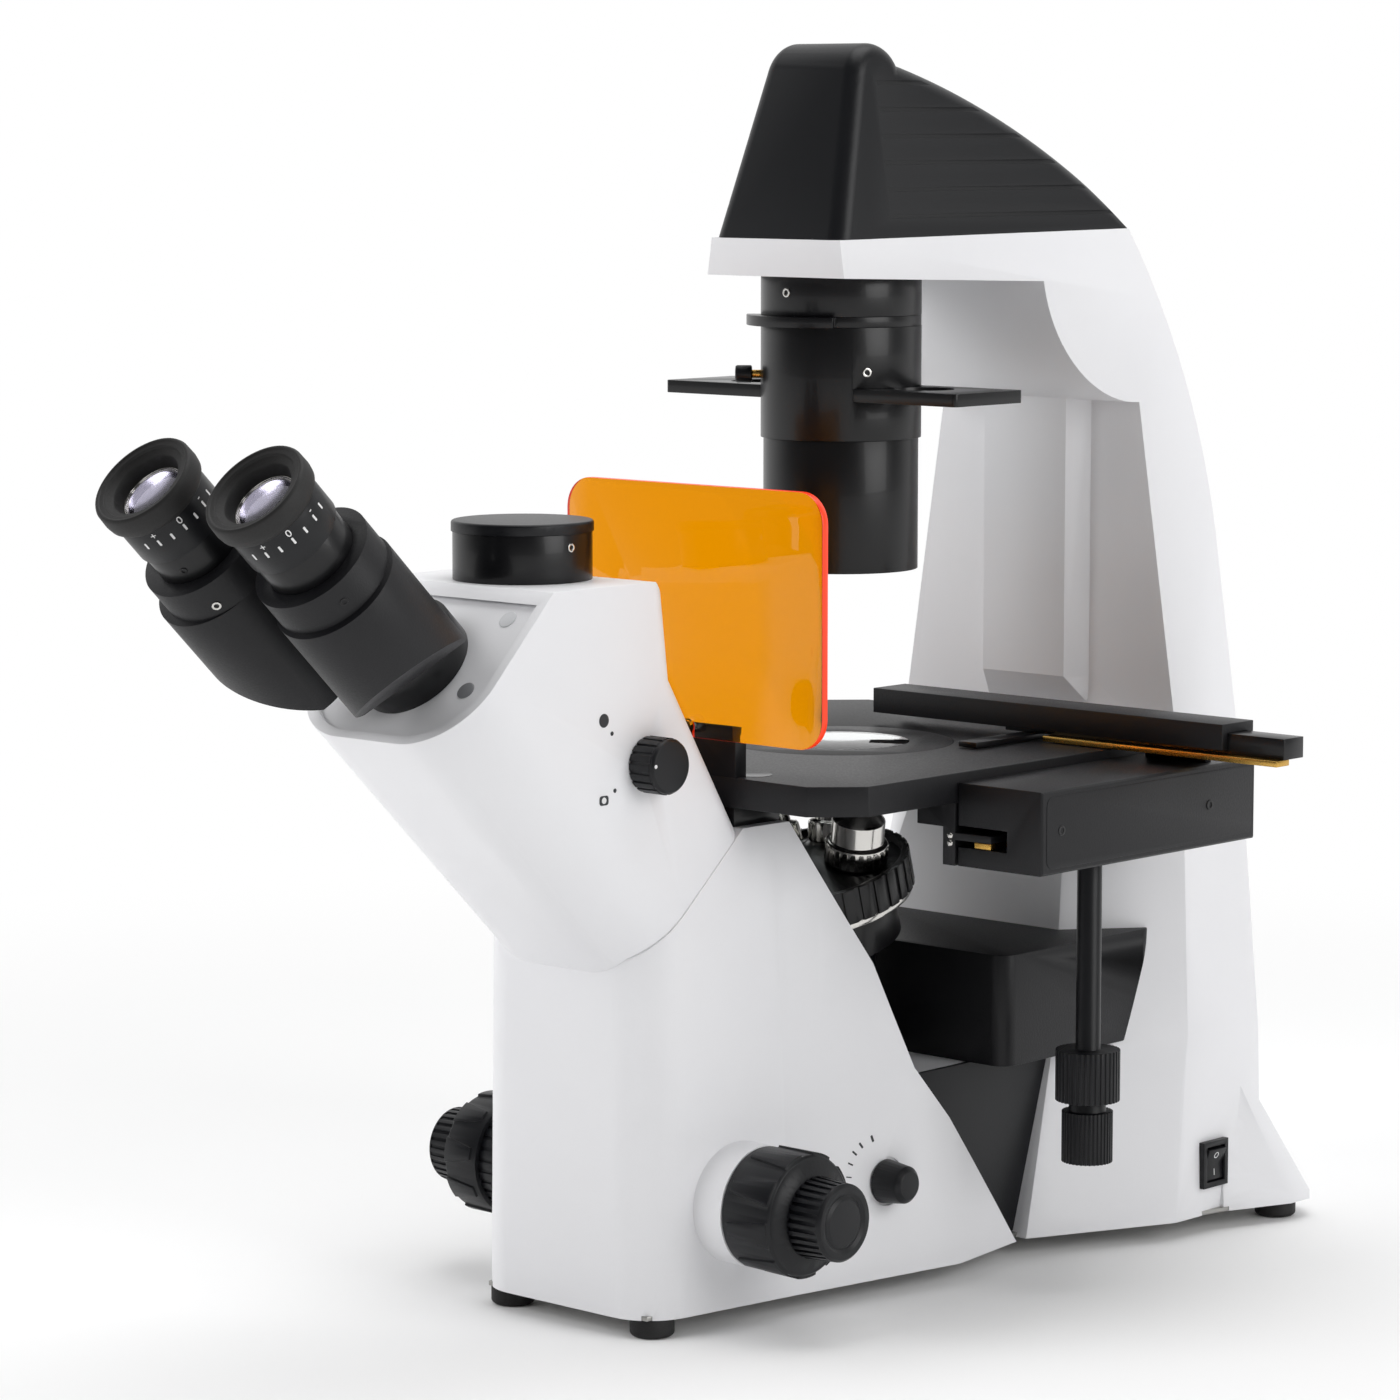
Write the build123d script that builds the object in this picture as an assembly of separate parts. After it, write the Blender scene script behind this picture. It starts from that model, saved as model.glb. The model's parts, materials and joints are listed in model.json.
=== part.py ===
from build123d import *
import os
from math import asin, cos, degrees, hypot, radians, sin, tan

os.makedirs("parts", exist_ok=True)

# Inverted microscope, in millimetres.
# The optical axis is the Z axis, the table is z = 0 and the user sits on the -Y side.

# Clearances
running_gap = 0.05
loose_gap = 0.3
over = 1.0

# Feet and base
foot_height = 8.0
foot_radius = 9.3
foot_edge = 1.2
front_foot_x = 40.4
rear_foot_x = 99.4
front_foot_inset = 13.1
rear_foot_inset = 19.7
cover_thickness = 2.0
cover_rim = 4.0

# Front column, with distances in front of the optical axis
front_face = 176.0
front_half_width = 50.0
front_top_z = 207.0
front_top_inner = 90.0
front_top_outer = 118.0
seam_drop_z = 158.0
seam_foot_z = 150.5
front_toe = 41.0
waist_y = -45.0
waist_z = 142.0
knee_y = -25.0
knee_z = 95.0
base_shoulder_half_width = 61.0
base_shoulder_y = -99.0
base_half_width = 76.0
base_widest_y = -7.0
front_edge_radius = 22.0
web_half_width = 58.0
panel_thickness = 2.0

# Rear column
rear_face = 181.0
rear_half_width = 98.0
rear_toe_y = 48.0
rear_toe_half_width = 68.0
rear_fold_y = 117.0
ledge_y = 110.0
ledge_half_width = 40.0
ledge_fold_y = 142.0
ledge_fold_half_width = 80.0
foot_flare_x = 113.0
foot_flare_y = 210.0
foot_flare_height = 57.0
foot_flare_corner = 12.0
flare_start = 60.0
flare_shoulder = 26.0

# Arm and upper column
arm_front = 43.0
arm_half_width = 36.5
arm_spread = 0.0467
arm_draft = 0.153
arm_seam_z = 447.0
arm_depth = 16.0
arm_fall = 4.0
arm_rear_y = 143.8
arm_back_y = 169.5
arm_back_z = 388.0
back_straight_z = 300.0
arch_face_y = 138.0
arch_radius = 55.0
rib_half_width = 23.5
rib_foot_half_width = 30.4
rib_depth = 11.0
rib_bottom_z = 247.0
rib_bevel = 12.0

# Lamp cap and lamp
cap_height = 82.5
cap_lean = 21.0
cap_nose_drop = 11.0
cap_edge_radius = 8.0
cap_wall = 3.0
cap_groove_front = -10.0
cap_groove_pitch = 11.3
cap_groove_count = 6
cap_groove_top = 16.5
cap_groove_depth = 1.0
cap_groove_width = 1.8
lamp_bay_depth = 8.0
lamp_half_width = 20.0
lamp_front = 20.0
lamp_rear = 34.0
lamp_height = 30.0
collector_radius = 23.0
collector_thickness = 5.0

# Head
view_angle = 44.0
face_y = -257.4
face_z = 283.4
head_half_width = 50.0
head_top = 41.0
head_chin = 39.0
head_chin_radius = 33.0
lip_width = 5.0
lip_depth = 2.0
head_rear_y = -163.0
head_rear_step = 5.0
head_rear_drop = 40.0
head_edge_radius = 9.0

# Photo port
port_y = -196.0
port_radius = 28.4
port_bore = 21.0
port_height = 19.6
port_cap_radius = 29.0
port_cap_thickness = 4.5
port_spigot = 3.0

# Beam splitter and its selector
splitter_size = 27.0
splitter_z = 267.0
splitter_travel = 28.0
selector_y = -175.0
selector_z = 239.5
selector_radius = 11.6
selector_length = 12.7
selector_shaft_radius = 5.0
selector_shaft_reach = 20.0
selector_ribs = 18

# Binocular, with heights above the slanted face of the head
eye_spacing = 63.6
eye_drop = 22.4
hub_radius = 24.0
hub_top = 12.0
pivot_radius = 5.95
lug_radius = 14.5
lug_height = 11.7
lug_width = 26.0
pivot_cap_radius = 10.0
pivot_cap_height = 1.7
housing_radius = 26.2
housing_outset = 2.4
housing_base = 16.0
housing_top = 80.0
housing_slant = 40.0
housing_slant_start = 10.0
housing_ring_radius = 25.0
housing_ring_top = 95.0
sleeve_radius = 18.5
sleeve_top = 108.0
sleeve_seat = 12.0
spigot_radius = 16.4
spigot_height = 12.0
eye_bore = 14.2
diopter_radius = 19.6
diopter_top = 125.6
diopter_ledge_z = 121.0
diopter_ledge = 1.3
eyecup_radius = 22.4
eyecup_top = 135.6
eyecup_bore = 15.2
eyecup_mouth = 18.6
eye_lens_thickness = 3.0

# Condenser
condenser_radius = 34.8
condenser_bore = 29.0
lower_tube_radius = 33.6
lower_tube_top_z = 361.0
working_distance = 76.0
iris_z = 409.3
iris_height = 4.6
iris_bore = 31.0
iris_lever_radius = 41.0
iris_lever_start = 215.0
iris_lever_end = 306.0
slider_z = 377.8
slider_thickness = 5.5
slider_width = 45.0
slider_length = 166.0
slider_hole_radius = 13.0
slider_hole_pitch = 47.0
front_lens_thickness = 8.0
front_lens_ledge = 2.0

# Stage
stage_top = 228.0
stage_thickness = 12.5
stage_half_width = 105.0
stage_half_depth = 120.5
stage_corner = 18.0
insert_radius = 49.6
insert_ledge = 3.0
insert_thickness = 3.0
insert_gap = 0.15
glass_radius = 30.5
glass_thickness = 1.5
glass_ledge = 2.0
support_half_width = 45.0

# Shield
shield_left = -45.0
shield_right = 98.5
shield_bottom = 243.5
shield_height = 104.9
shield_thickness = 3.5
shield_corner = 13.0
bracket_left = 1.0
bracket_right = 48.0
bracket_depth = 6.5
bracket_height = 22.0
shield_screw_x = 24.5
shield_screw_z = 248.0
shield_screw_radius = 2.0
shield_screw_head = 3.4
shield_screw_head_length = 4.0
shield_screw_grip = 5.0

# Nosepiece, with distances up its tilted axis from the apex of the cone of objectives
parfocal = 45.0
nosepiece_tilt = 15.0
cone_length = 96.0
mount_radius = 37.0
mount_start = 55.0
race_start = 73.0
race_radius = 45.0
race_bore = 30.0
turret_start = 76.0
turret_rim = 91.0
turret_radius = 46.5
turret_ribs = 36
turret_pivot_radius = 8.0
turret_pivot_length = 12.0
neck_radius = 24.0
neck_y = -12.0
neck_bottom_z = 70.0
neck_top_z = 141.0
carrier_beam_radius = 10.0
turret_positions = 5
objective_thread = 10.16
objective_thread_length = 4.5
objective_flange = 13.5
objective_grip = 9.0
focus_down = 2.0
well_margin = 3.5

# Filter housing
filter_half_width = 80.0
filter_front_y = 17.0
filter_rear_y = 122.7
filter_bottom_z = 90.5
filter_height = 48.9
filter_corner = 8.0

# Focus knobs
focus_y = -126.0
focus_z = 52.0
focus_reach = 113.5
collar_radius = 25.5
collar_end = 68.0
coarse_start = 68.5
left_coarse_start = 75.0
coarse_end = 94.0
coarse_radius = 26.2
coarse_grips = 9
coarse_grip_depth = 1.0
coarse_cone_height = 3.0
coarse_cone_radius = 23.5
fine_start = 97.3
fine_radius = 17.1
fine_rim_start = 111.5
fine_rim_radius = 16.2
fine_rim_round = 1.2
fine_groove_radius = 11.0
fine_groove_depth = 1.0
fine_ribs = 30
fine_rib_depth = 1.4
coarse_shaft_radius = 7.0
fine_shaft_radius = 4.0
tension_start = 61.3
tension_end = 74.7
tension_radius = 23.2
tension_bore = 12.0
tension_ribs = 30

# Brightness dial
dial_x = base_half_width - 10.5
dial_y = -45.0
dial_z = 49.0
dial_seat_radius = 10.5
dial_radius = 9.5
dial_tip_radius = 8.0
dial_length = 13.7
dial_shaft_radius = 3.0
dial_shaft_length = 14.0

# Power switch and supply
switch_y = 144.0
switch_z = 31.0
switch_width = 18.0
switch_height = 21.0
switch_frame = 2.4
switch_depth = 8.0
switch_proud = 2.0
rocker_tilt = 8.0
supply_half_width = 38.0
supply_front = 126.0
supply_rear = 168.0
supply_height = 56.0
bay_gap = 5.0

# Beam path in the base
beam_radius = 13.0
chamber_half_width = 16.0
chamber_front = -34.0
chamber_rear = 6.0
chamber_floor_z = 30.0
chamber_ceiling_z = 64.0
mirror_half_width = 12.0
mirror_size = 26.0

# Mechanical stage
rail_front = -47.0
rail_rear = 115.0
rail_width = 6.5
rail_foot_width = 14.0
rail_foot_height = 10.5
rail_side_gap = 0.5
tongue_z = 200.0
tongue_thickness = 3.0
tongue_reach = 19.2
rack_width = 8.7
rack_height = 2.5
groove_bottom = 197.0
groove_top = 206.0
groove_reach = 26.0
drive_bottom = 189.0
drive_height = 35.0
drive_outer = 150.0
drive_front = -46.0
drive_rear = 101.0
drive_edge = 1.0
drive_shaft_x = drive_outer - 22.0
drive_shaft_y = 14.0
y_shaft_radius = 5.3
y_shaft_neck_radius = 4.0
x_shaft_radius = 2.5
y_knob_radius = 13.75
y_knob_top = 106.0
y_knob_bottom = 84.0
x_knob_radius = 10.9
x_knob_top = 79.5
x_knob_bottom = 57.5
knob_ribs = 36
bar_left = -28.0
bar_right = 166.0
bar_front = 55.0
bar_depth = 22.0
bar_bottom = 233.0
bar_height = 11.0
bar_front_wall = 4.0
bar_rear_wall = 4.0
bar_roof = 4.0
pedestal_inset = 6.0
slide_left = 45.0
slide_right = 195.0
slide_bottom = 231.0
x_rack_left = 70.0
x_rack_front = 54.0
x_rack_width = 9.0
x_rack_height = 2.5
finger_left = 54.0
finger_width = 10.0
finger_front = 16.0
finger_rear = 63.0

# Levels and places that follow from the dimensions above
body_bottom = foot_height
stage_bottom = stage_top - stage_thickness
condenser_bottom = stage_top + working_distance
arm_underside = arm_seam_z - arm_depth
iris_top = iris_z + iris_height
shoulder_z = stage_top + 1.0 - parfocal
cone_apex_z = shoulder_z - cone_length
filter_top = filter_bottom_z + filter_height
head_top_z = face_z + head_top * cos(radians(view_angle))
port_top = head_top_z + port_height
shield_back_y = -stage_half_depth
eye_reach = hypot(eye_spacing / 2, eye_drop)
eye_turn = degrees(asin(eye_drop / eye_reach))
cap_top = arm_seam_z + cap_height
drive_top = drive_bottom + drive_height
drive_inner = stage_half_width + rail_side_gap
bar_top = bar_bottom + bar_height
bar_rear = bar_front + bar_depth

parts = {}


def save(name, *solids):
    """Keep one node; several solids go in as a group."""
    parts[name] = solids[0] if len(solids) == 1 else Compound(children=list(solids))


def block(x0, x1, y0, y1, z0, z1):
    return Pos((x0 + x1) / 2, (y0 + y1) / 2, (z0 + z1) / 2) * Box(x1 - x0, y1 - y0, z1 - z0)


def disc(radius, z0, z1, x=0.0, y=0.0):
    return Pos(x, y, (z0 + z1) / 2) * Cylinder(radius, z1 - z0)


def tube(outer, inner, z0, z1, x=0.0, y=0.0):
    return disc(outer, z0, z1, x, y) - disc(inner, z0 - over, z1 + over, x, y)


def across(radius, x0, x1, y, z):
    """Round bar along X."""
    return Pos((x0 + x1) / 2, y, z) * Rot(0, 90, 0) * Cylinder(radius, x1 - x0)


def side_slab(points, half_width):
    """Outline drawn in side view, as (y, z) points, thick about the middle plane."""
    outline = make_face(Plane.YZ * Polyline(*points, close=True))
    return extrude(outline, amount=half_width, both=True)


def plan_face(points, z):
    return make_face(Plane.XY.offset(z) * Polyline(*points, close=True))


def both_sides(points):
    return points + [(-x, y) for x, y in reversed(points)]


def plan_loft(*sections):
    """Ruled solid through plan outlines; each section is its height and its right-hand points."""
    return loft([plan_face(both_sides(points), z) for z, points in sections], ruled=True)


def turned(*points):
    """Solid of revolution about Z from (radius, height) points."""
    return revolve(make_face(Plane.XZ * Polyline(*points, close=True)), Axis.Z)


def ribbed(radius, length, count, depth, width):
    """Knob blank up from z = 0 with straight grooves along its rim."""
    with BuildSketch() as outline:
        Circle(radius)
        with PolarLocations(radius, count):
            Rectangle(2 * depth, width, mode=Mode.SUBTRACT)
    return extrude(outline.sketch, amount=length)


def on_side(side, x, y, z):
    """Place whose Z axis points out of the right (+1) or left (-1) side."""
    return Pos(side * x, y, z) * Rot(0, side * 90, 0)


def view_place(x=0.0, y=0.0, height=0.0):
    """Place on the slanted face of the head: x right, y up the slope, Z out along the eyepieces."""
    outward = (0, -cos(radians(view_angle)), sin(radians(view_angle)))
    return Plane(origin=(0, face_y, face_z), x_dir=(1, 0, 0), z_dir=outward).location * Pos(x, y, height)


def nosepiece_place(distance, turn=0.0):
    """Place on the tilted axis of the revolving nosepiece."""
    return Pos(0, 0, cone_apex_z) * Rot(nosepiece_tilt, 0, 0) * Rot(0, 0, turn) * Pos(0, 0, distance)


def objective_place(index, distance):
    """Place on one objective axis; number 0 stands upright on the optical axis."""
    return nosepiece_place(0, index * 360 / turret_positions) * Rot(-nosepiece_tilt, 0, 0) * Pos(0, 0, distance)


def side_draft(inset, z_low, z_high):
    """Wedge between the drafted side planes shared by the upper column, the arm and the lamp cap."""
    def half(y, z):
        return arm_half_width + arm_spread * (y + arm_front) - arm_draft * (z - arm_seam_z) - inset
    y_near = -arm_front - 20
    y_far = rear_face + 20
    return plan_loft(*[(z, [(half(y_near, z), y_near), (half(y_far, z), y_far)]) for z in (z_low, z_high)])


def front_column():
    """Side outline of the front column, cut by walls that splay out towards the base."""
    slab = side_slab([(-front_face, body_bottom), (front_toe, body_bottom), (knee_y, knee_z), (waist_y, waist_z),
                      (-front_top_inner, front_top_z), (-front_top_outer, front_top_z),
                      (-front_face + 2, seam_drop_z), (-front_face, seam_foot_z)], base_half_width + 20)
    rear_y = front_toe + over
    splay = plan_loft(
        (body_bottom, [(front_half_width, -front_face - over), (base_shoulder_half_width, base_shoulder_y),
                       (base_half_width, base_widest_y), (rear_toe_half_width, rear_y)]),
        (front_top_z + over, [(front_half_width, -front_face - over), (front_half_width, base_shoulder_y),
                              (front_half_width + 5, base_widest_y), (front_half_width + 2, rear_y)]))
    column = slab & splay
    corners = [e for e in column.edges() if e.center().Y < -front_face + 4 and abs(e.center().X) > 40
               and e.length > 100]
    return fillet(corners, front_edge_radius)


def rear_column():
    """Lower rear column, ruled from its toe up to the ledge under the stage, and its flared foot."""
    lower = plan_loft(
        (body_bottom, [(rear_toe_half_width, rear_toe_y), (rear_half_width, rear_fold_y),
                       (rear_half_width, rear_face)]),
        (filter_bottom_z, [(rear_toe_half_width - 6, rear_toe_y + 25), (rear_half_width - 2, rear_fold_y + 10),
                           (rear_half_width - 3, rear_face)]),
        (stage_bottom, [(ledge_half_width, ledge_y), (ledge_fold_half_width, ledge_fold_y),
                        (ledge_fold_half_width + 3, rear_face)]))
    tucked = rear_half_width - 2.5
    outline = [(rear_half_width + 2, foot_flare_y - flare_start), (foot_flare_x, foot_flare_y - flare_shoulder),
               (foot_flare_x, foot_flare_y - foot_flare_corner),
               (foot_flare_x - foot_flare_corner, foot_flare_y)]
    flare = plan_loft(
        (body_bottom, outline),
        (body_bottom + 4, outline),
        (body_bottom + foot_flare_height, [(tucked - 6, 160.0), (tucked, 166.0), (tucked, rear_face - 8),
                                           (tucked - 8, rear_face)]))
    return lower + flare


def arm_and_upper_column():
    """C-shaped arm: side outline with the round inside of the arch, cut by the drafted side planes."""
    low = stage_bottom - over / 2
    arch_top = arm_underside - arm_fall
    with BuildSketch(Plane.YZ) as outline:
        with BuildLine():
            face = Line((arch_face_y, low), (arch_face_y, arch_top - arch_radius))
            arch_end = (arch_face_y - arch_radius, arch_top)
            RadiusArc(face @ 1, arch_end, arch_radius)
            under = Line(arch_end, (-arm_front, arm_underside))
            nose = Line(under @ 1, (-arm_front, arm_seam_z))
            seam = Line(nose @ 1, (arm_rear_y, arm_seam_z + 2))
            back = ThreePointArc(seam @ 1, (arm_back_y, arm_back_z), (rear_face, back_straight_z))
            spine = Line(back @ 1, (rear_face, low))
            Line(spine @ 1, face @ 0)
        make_face()
    arm = extrude(outline.sketch, amount=rear_half_width, both=True)
    arm &= side_draft(0.0, low - 40, arm_seam_z + 10)

    def rib_face(z, narrow, depth):
        back_y = arch_face_y + 2
        return plan_face(both_sides([(narrow, arch_face_y - depth), (rib_foot_half_width, back_y)]), z)

    rib = loft([rib_face(rib_bottom_z - rib_bevel, rib_foot_half_width - 2, 0.5),
                rib_face(rib_bottom_z, rib_half_width, rib_depth),
                rib_face(arch_top - rib_depth, rib_half_width, rib_depth)], ruled=True)
    return arm + rib


def focus_well():
    """Room in the castings for the nosepiece and its carrier over the whole focus travel."""
    bearing = disc(neck_radius + running_gap, neck_bottom_z - focus_down - 15, filter_bottom_z, 0, neck_y)
    neck_room = disc(neck_radius + well_margin, filter_bottom_z - over, neck_top_z, 0, neck_y)
    reach = 80.0
    turret_room = nosepiece_place(mount_start - 19) * Pos(0, 0, reach / 2) * Cylinder(
        turret_radius + well_margin, reach)
    return bearing + neck_room + turret_room


def bottom_outline(rim):
    """Plan of the recess under the base, a rim inside the walls."""
    inside = foot_flare_corner + 2
    return both_sides([(front_half_width - rim, -front_face + rim), (base_half_width - 4 - rim, base_widest_y),
                       (rear_toe_half_width - rim - 2, rear_toe_y), (rear_half_width - rim, rear_fold_y),
                       (foot_flare_x - 2 - rim, foot_flare_y - flare_shoulder + 2),
                       (foot_flare_x - 2 - rim, foot_flare_y - inside - rim),
                       (foot_flare_x - inside - rim, foot_flare_y - 2 - rim)])


def make_stand():
    web = block(-web_half_width, web_half_width, -60, 110, body_bottom, filter_bottom_z)
    stand = front_column() + rear_column() + web + arm_and_upper_column()
    stand += across(collar_radius, front_half_width, collar_end, focus_y, focus_z)
    stand += across(collar_radius, -tension_start + loose_gap, -front_half_width, focus_y, focus_z)
    stand += across(tension_bore, -tension_end, -front_half_width, focus_y, focus_z)
    stand -= focus_well()
    stand -= across(coarse_shaft_radius + running_gap, -left_coarse_start, coarse_start, focus_y, focus_z)
    stand -= across(dial_seat_radius, dial_x, base_half_width, dial_y, dial_z)
    stand -= across(dial_shaft_radius + running_gap, dial_x - dial_shaft_length, dial_x + over, dial_y, dial_z)
    stand -= disc(collector_radius, arm_underside - 10, arm_seam_z)
    stand -= block(-lamp_half_width - loose_gap, lamp_half_width + loose_gap, -lamp_front - loose_gap,
                   lamp_rear + loose_gap, arm_seam_z - lamp_bay_depth, arm_seam_z + 5)
    stand -= block(-supply_half_width - bay_gap, supply_half_width + bay_gap, supply_front - bay_gap,
                   supply_rear + bay_gap, body_bottom - over, body_bottom + supply_height + 2 * bay_gap)
    pocket = rear_half_width - switch_depth
    stand -= block(pocket, rear_half_width + 5, switch_y - switch_width / 2 + 1, switch_y + switch_width / 2 - 1,
                   switch_z - switch_height / 2 + 1, switch_z + switch_height / 2 - 1)
    stand -= block(-chamber_half_width, chamber_half_width, chamber_front, chamber_rear, chamber_floor_z,
                   chamber_ceiling_z)
    stand -= disc(beam_radius, chamber_ceiling_z - over, neck_bottom_z, 0, neck_y)
    stand -= extrude(plan_face(bottom_outline(cover_rim - loose_gap), body_bottom), amount=cover_thickness)
    return stand


def make_base():
    stand = make_stand()
    save("stand_casting", stand)
    save("bottom_cover", extrude(plan_face(bottom_outline(cover_rim), body_bottom), amount=cover_thickness))
    feet = []
    for x, y in ((front_foot_x, -front_face + front_foot_inset), (rear_foot_x, foot_flare_y - rear_foot_inset)):
        for side in (-1, 1):
            foot = disc(foot_radius, 0, foot_height, side * x, y)
            feet.append(chamfer(foot.edges().group_by(Axis.Z)[0], foot_edge))
    save("rubber_feet", *feet)
    panels = []
    for side in (-1, 1):
        x0, x1 = sorted((side * web_half_width, side * (web_half_width + panel_thickness)))
        sheet = block(x0, x1, knee_y - 10, ledge_y - 10, body_bottom + cover_thickness + loose_gap,
                      filter_bottom_z) - stand
        panels.append(sheet.solids().sort_by(SortBy.VOLUME)[-1])
    save("side_panels", *panels)
    low = chamber_floor_z
    near = neck_y - mirror_size / 2
    far = near + mirror_size
    save("base_mirror", side_slab([(near, low), (far, low), (far, low + mirror_size)], mirror_half_width))
    save("power_supply", block(-supply_half_width, supply_half_width, supply_front, supply_rear,
                               body_bottom + cover_thickness, body_bottom + supply_height))
    return stand


def face_outline(inset, height):
    """Outline of the slanted face: straight sides, open top and a round chin."""
    half = head_half_width - inset
    chin = -head_chin + inset * 0.8
    with BuildSketch() as outline:
        Rectangle(2 * half, 2 * head_top - chin, align=(Align.CENTER, Align.MIN))
        fillet(outline.vertices().group_by(Axis.Y)[0], head_chin_radius - inset * 0.6)
    return view_place(0, chin, height) * outline.sketch


def head_side(drop):
    """Side outline of the head behind the slanted face, with its top lowered by a step."""
    rear_y = head_rear_y + head_rear_step
    top = head_top_z - drop
    far = -3 * front_face
    return [(far, top), (head_rear_y - drop, top), (rear_y - drop, top - head_rear_drop),
            (-front_top_outer - drop, front_top_z), (-front_face + 2, seam_drop_z),
            (-front_face, seam_foot_z), (far, seam_foot_z)]


def make_head():
    run = 2.5 * front_face
    head = extrude(face_outline(0.0, -run), amount=run) & side_slab(head_side(0.0), head_half_width + 20)
    rear = [e for e in head.edges() if e.center().Z > front_top_z and e.center().Y > head_rear_y - 8
            and abs(e.center().X) > head_half_width - 2 and e.length > 25]
    head = fillet(rear, head_edge_radius)
    lip = extrude(face_outline(lip_width, -lip_depth), amount=lip_depth + over)
    head -= lip & block(-head_half_width, head_half_width, -3 * front_face, head_rear_y - 20,
                        seam_foot_z, head_top_z - lip_width)
    half = splitter_size / 2 + loose_gap
    low = splitter_z - splitter_size / 2 - running_gap
    head -= block(-half, half + splitter_travel, port_y - half, port_y + half, low, splitter_z + half)
    head -= disc(port_bore, splitter_z, head_top_z + over, 0, port_y)
    eye_height = (port_y - face_y) / cos(radians(view_angle))
    head -= view_place(0, 0, -eye_height / 2) * Cylinder(pivot_radius + 4, eye_height + over)
    head -= across(selector_shaft_radius + running_gap, head_half_width - selector_shaft_reach,
                   head_half_width + over, selector_y, selector_z)
    save("head_casting", head)
    half = splitter_size / 2
    save("beam_splitter", block(-half, half, port_y - half, port_y + half, splitter_z - half, splitter_z + half))
    save("photo_port_tube", tube(port_radius, port_bore, head_top_z, port_top, 0, port_y))
    cap = disc(port_cap_radius, port_top, port_top + port_cap_thickness, 0, port_y)
    cap = fillet(cap.edges().group_by(Axis.Z)[-1], 1.2)
    save("photo_port_cap", cap + disc(port_bore - loose_gap, port_top - port_spigot, port_top, 0, port_y))
    knob = ribbed(selector_radius, selector_length - 2, selector_ribs, 0.6, 1.2)
    knob += Pos(0, 0, selector_length - 2) * turned((0, 0), (selector_radius - 0.4, 0), (selector_radius - 0.6, 1.2),
                                                    (selector_radius - 1.4, 2), (0, 2))
    shaft = Pos(0, 0, -selector_shaft_reach / 2) * Cylinder(selector_shaft_radius, selector_shaft_reach)
    save("selector_knob", on_side(1, head_half_width + loose_gap, selector_y, selector_z) * (knob + shaft))


def housing_lug(low, reach, turn):
    """Arm that joins a prism housing to the common pivot."""
    centre = low + lug_height / 2
    arm = Rot(0, 0, turn) * Pos(reach / 2, 0, centre) * Box(reach, lug_width, lug_height)
    return arm + disc(lug_radius, low, low + lug_height) - disc(pivot_radius + running_gap, low - over,
                                                                low + lug_height + over)


def make_binocular():
    stack_top = hub_top + 2 * lug_height + 3 * loose_gap
    hub = disc(hub_radius, -lip_depth, hub_top) + disc(pivot_radius, hub_top, stack_top)
    hub += disc(pivot_cap_radius, stack_top, stack_top + pivot_cap_height)
    save("binocular_hub", view_place() * hub)
    for side, word in ((-1, "left"), (1, "right")):
        make_eyepiece(side, word)


def make_eyepiece(side, word):
    """One prism housing with its sleeve, dioptre ring, eyecup and eye lens."""
    turn = -eye_turn if side > 0 else 180 + eye_turn
    x = side * eye_spacing / 2
    y = -eye_drop
    reach = eye_reach + housing_outset
    far_x = reach * cos(radians(turn))
    far_y = reach * sin(radians(turn))
    own_low = hub_top + loose_gap + (lug_height + loose_gap if side > 0 else 0)
    housing = disc(housing_radius, housing_base, housing_top, far_x, far_y)
    housing += disc(housing_ring_radius, housing_top, housing_ring_top, x, y)
    size = 4 * housing_radius
    slope = Rot(0, 0, turn) * Pos(-housing_slant_start, 0, 0) * Rot(0, -housing_slant, 0)
    housing -= Pos(far_x, far_y, housing_base) * slope * Pos(size / 2, 0, -size / 4) * Box(size, size, size / 2)
    housing += housing_lug(own_low, reach - housing_radius / 2, turn)
    housing -= disc(sleeve_radius + running_gap, housing_ring_top - sleeve_seat, housing_ring_top + over, x, y)
    housing -= disc(eye_bore, housing_top - 2 * eye_bore, housing_ring_top, x, y)
    save("prism_housing_" + word, view_place() * housing)
    low = housing_ring_top - sleeve_seat
    spigot_top = sleeve_top + spigot_height
    sleeve = turned((eye_bore, low), (sleeve_radius, low), (sleeve_radius, sleeve_top), (spigot_radius, sleeve_top),
                    (spigot_radius, spigot_top), (eye_bore, spigot_top))
    save("eyepiece_sleeve_" + word, view_place(x, y) * sleeve)
    lens_seat = diopter_ledge_z + diopter_ledge
    bore = spigot_radius + running_gap
    ring = turned((bore, sleeve_top + loose_gap), (diopter_radius, sleeve_top + loose_gap),
                  (diopter_radius, diopter_top), (eyecup_bore, diopter_top), (eyecup_bore, lens_seat),
                  (eye_bore - 1, lens_seat), (eye_bore - 1, diopter_ledge_z), (bore, diopter_ledge_z))
    save("diopter_ring_" + word, view_place(x, y) * ring)
    brow = eyecup_top - 1.5
    cup = turned((eyecup_bore, diopter_top), (eyecup_radius - 1.5, diopter_top), (eyecup_radius, diopter_top + 3),
                 (eyecup_radius, brow), (eyecup_radius - 1.5, eyecup_top), (eyecup_mouth, eyecup_top),
                 (eyecup_bore, diopter_top + 5))
    save("eyecup_" + word, view_place(x, y) * cup)
    lens = disc(eyecup_bore - running_gap, lens_seat, lens_seat + eye_lens_thickness)
    save("eye_lens_" + word, view_place(x, y) * lens)


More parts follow.
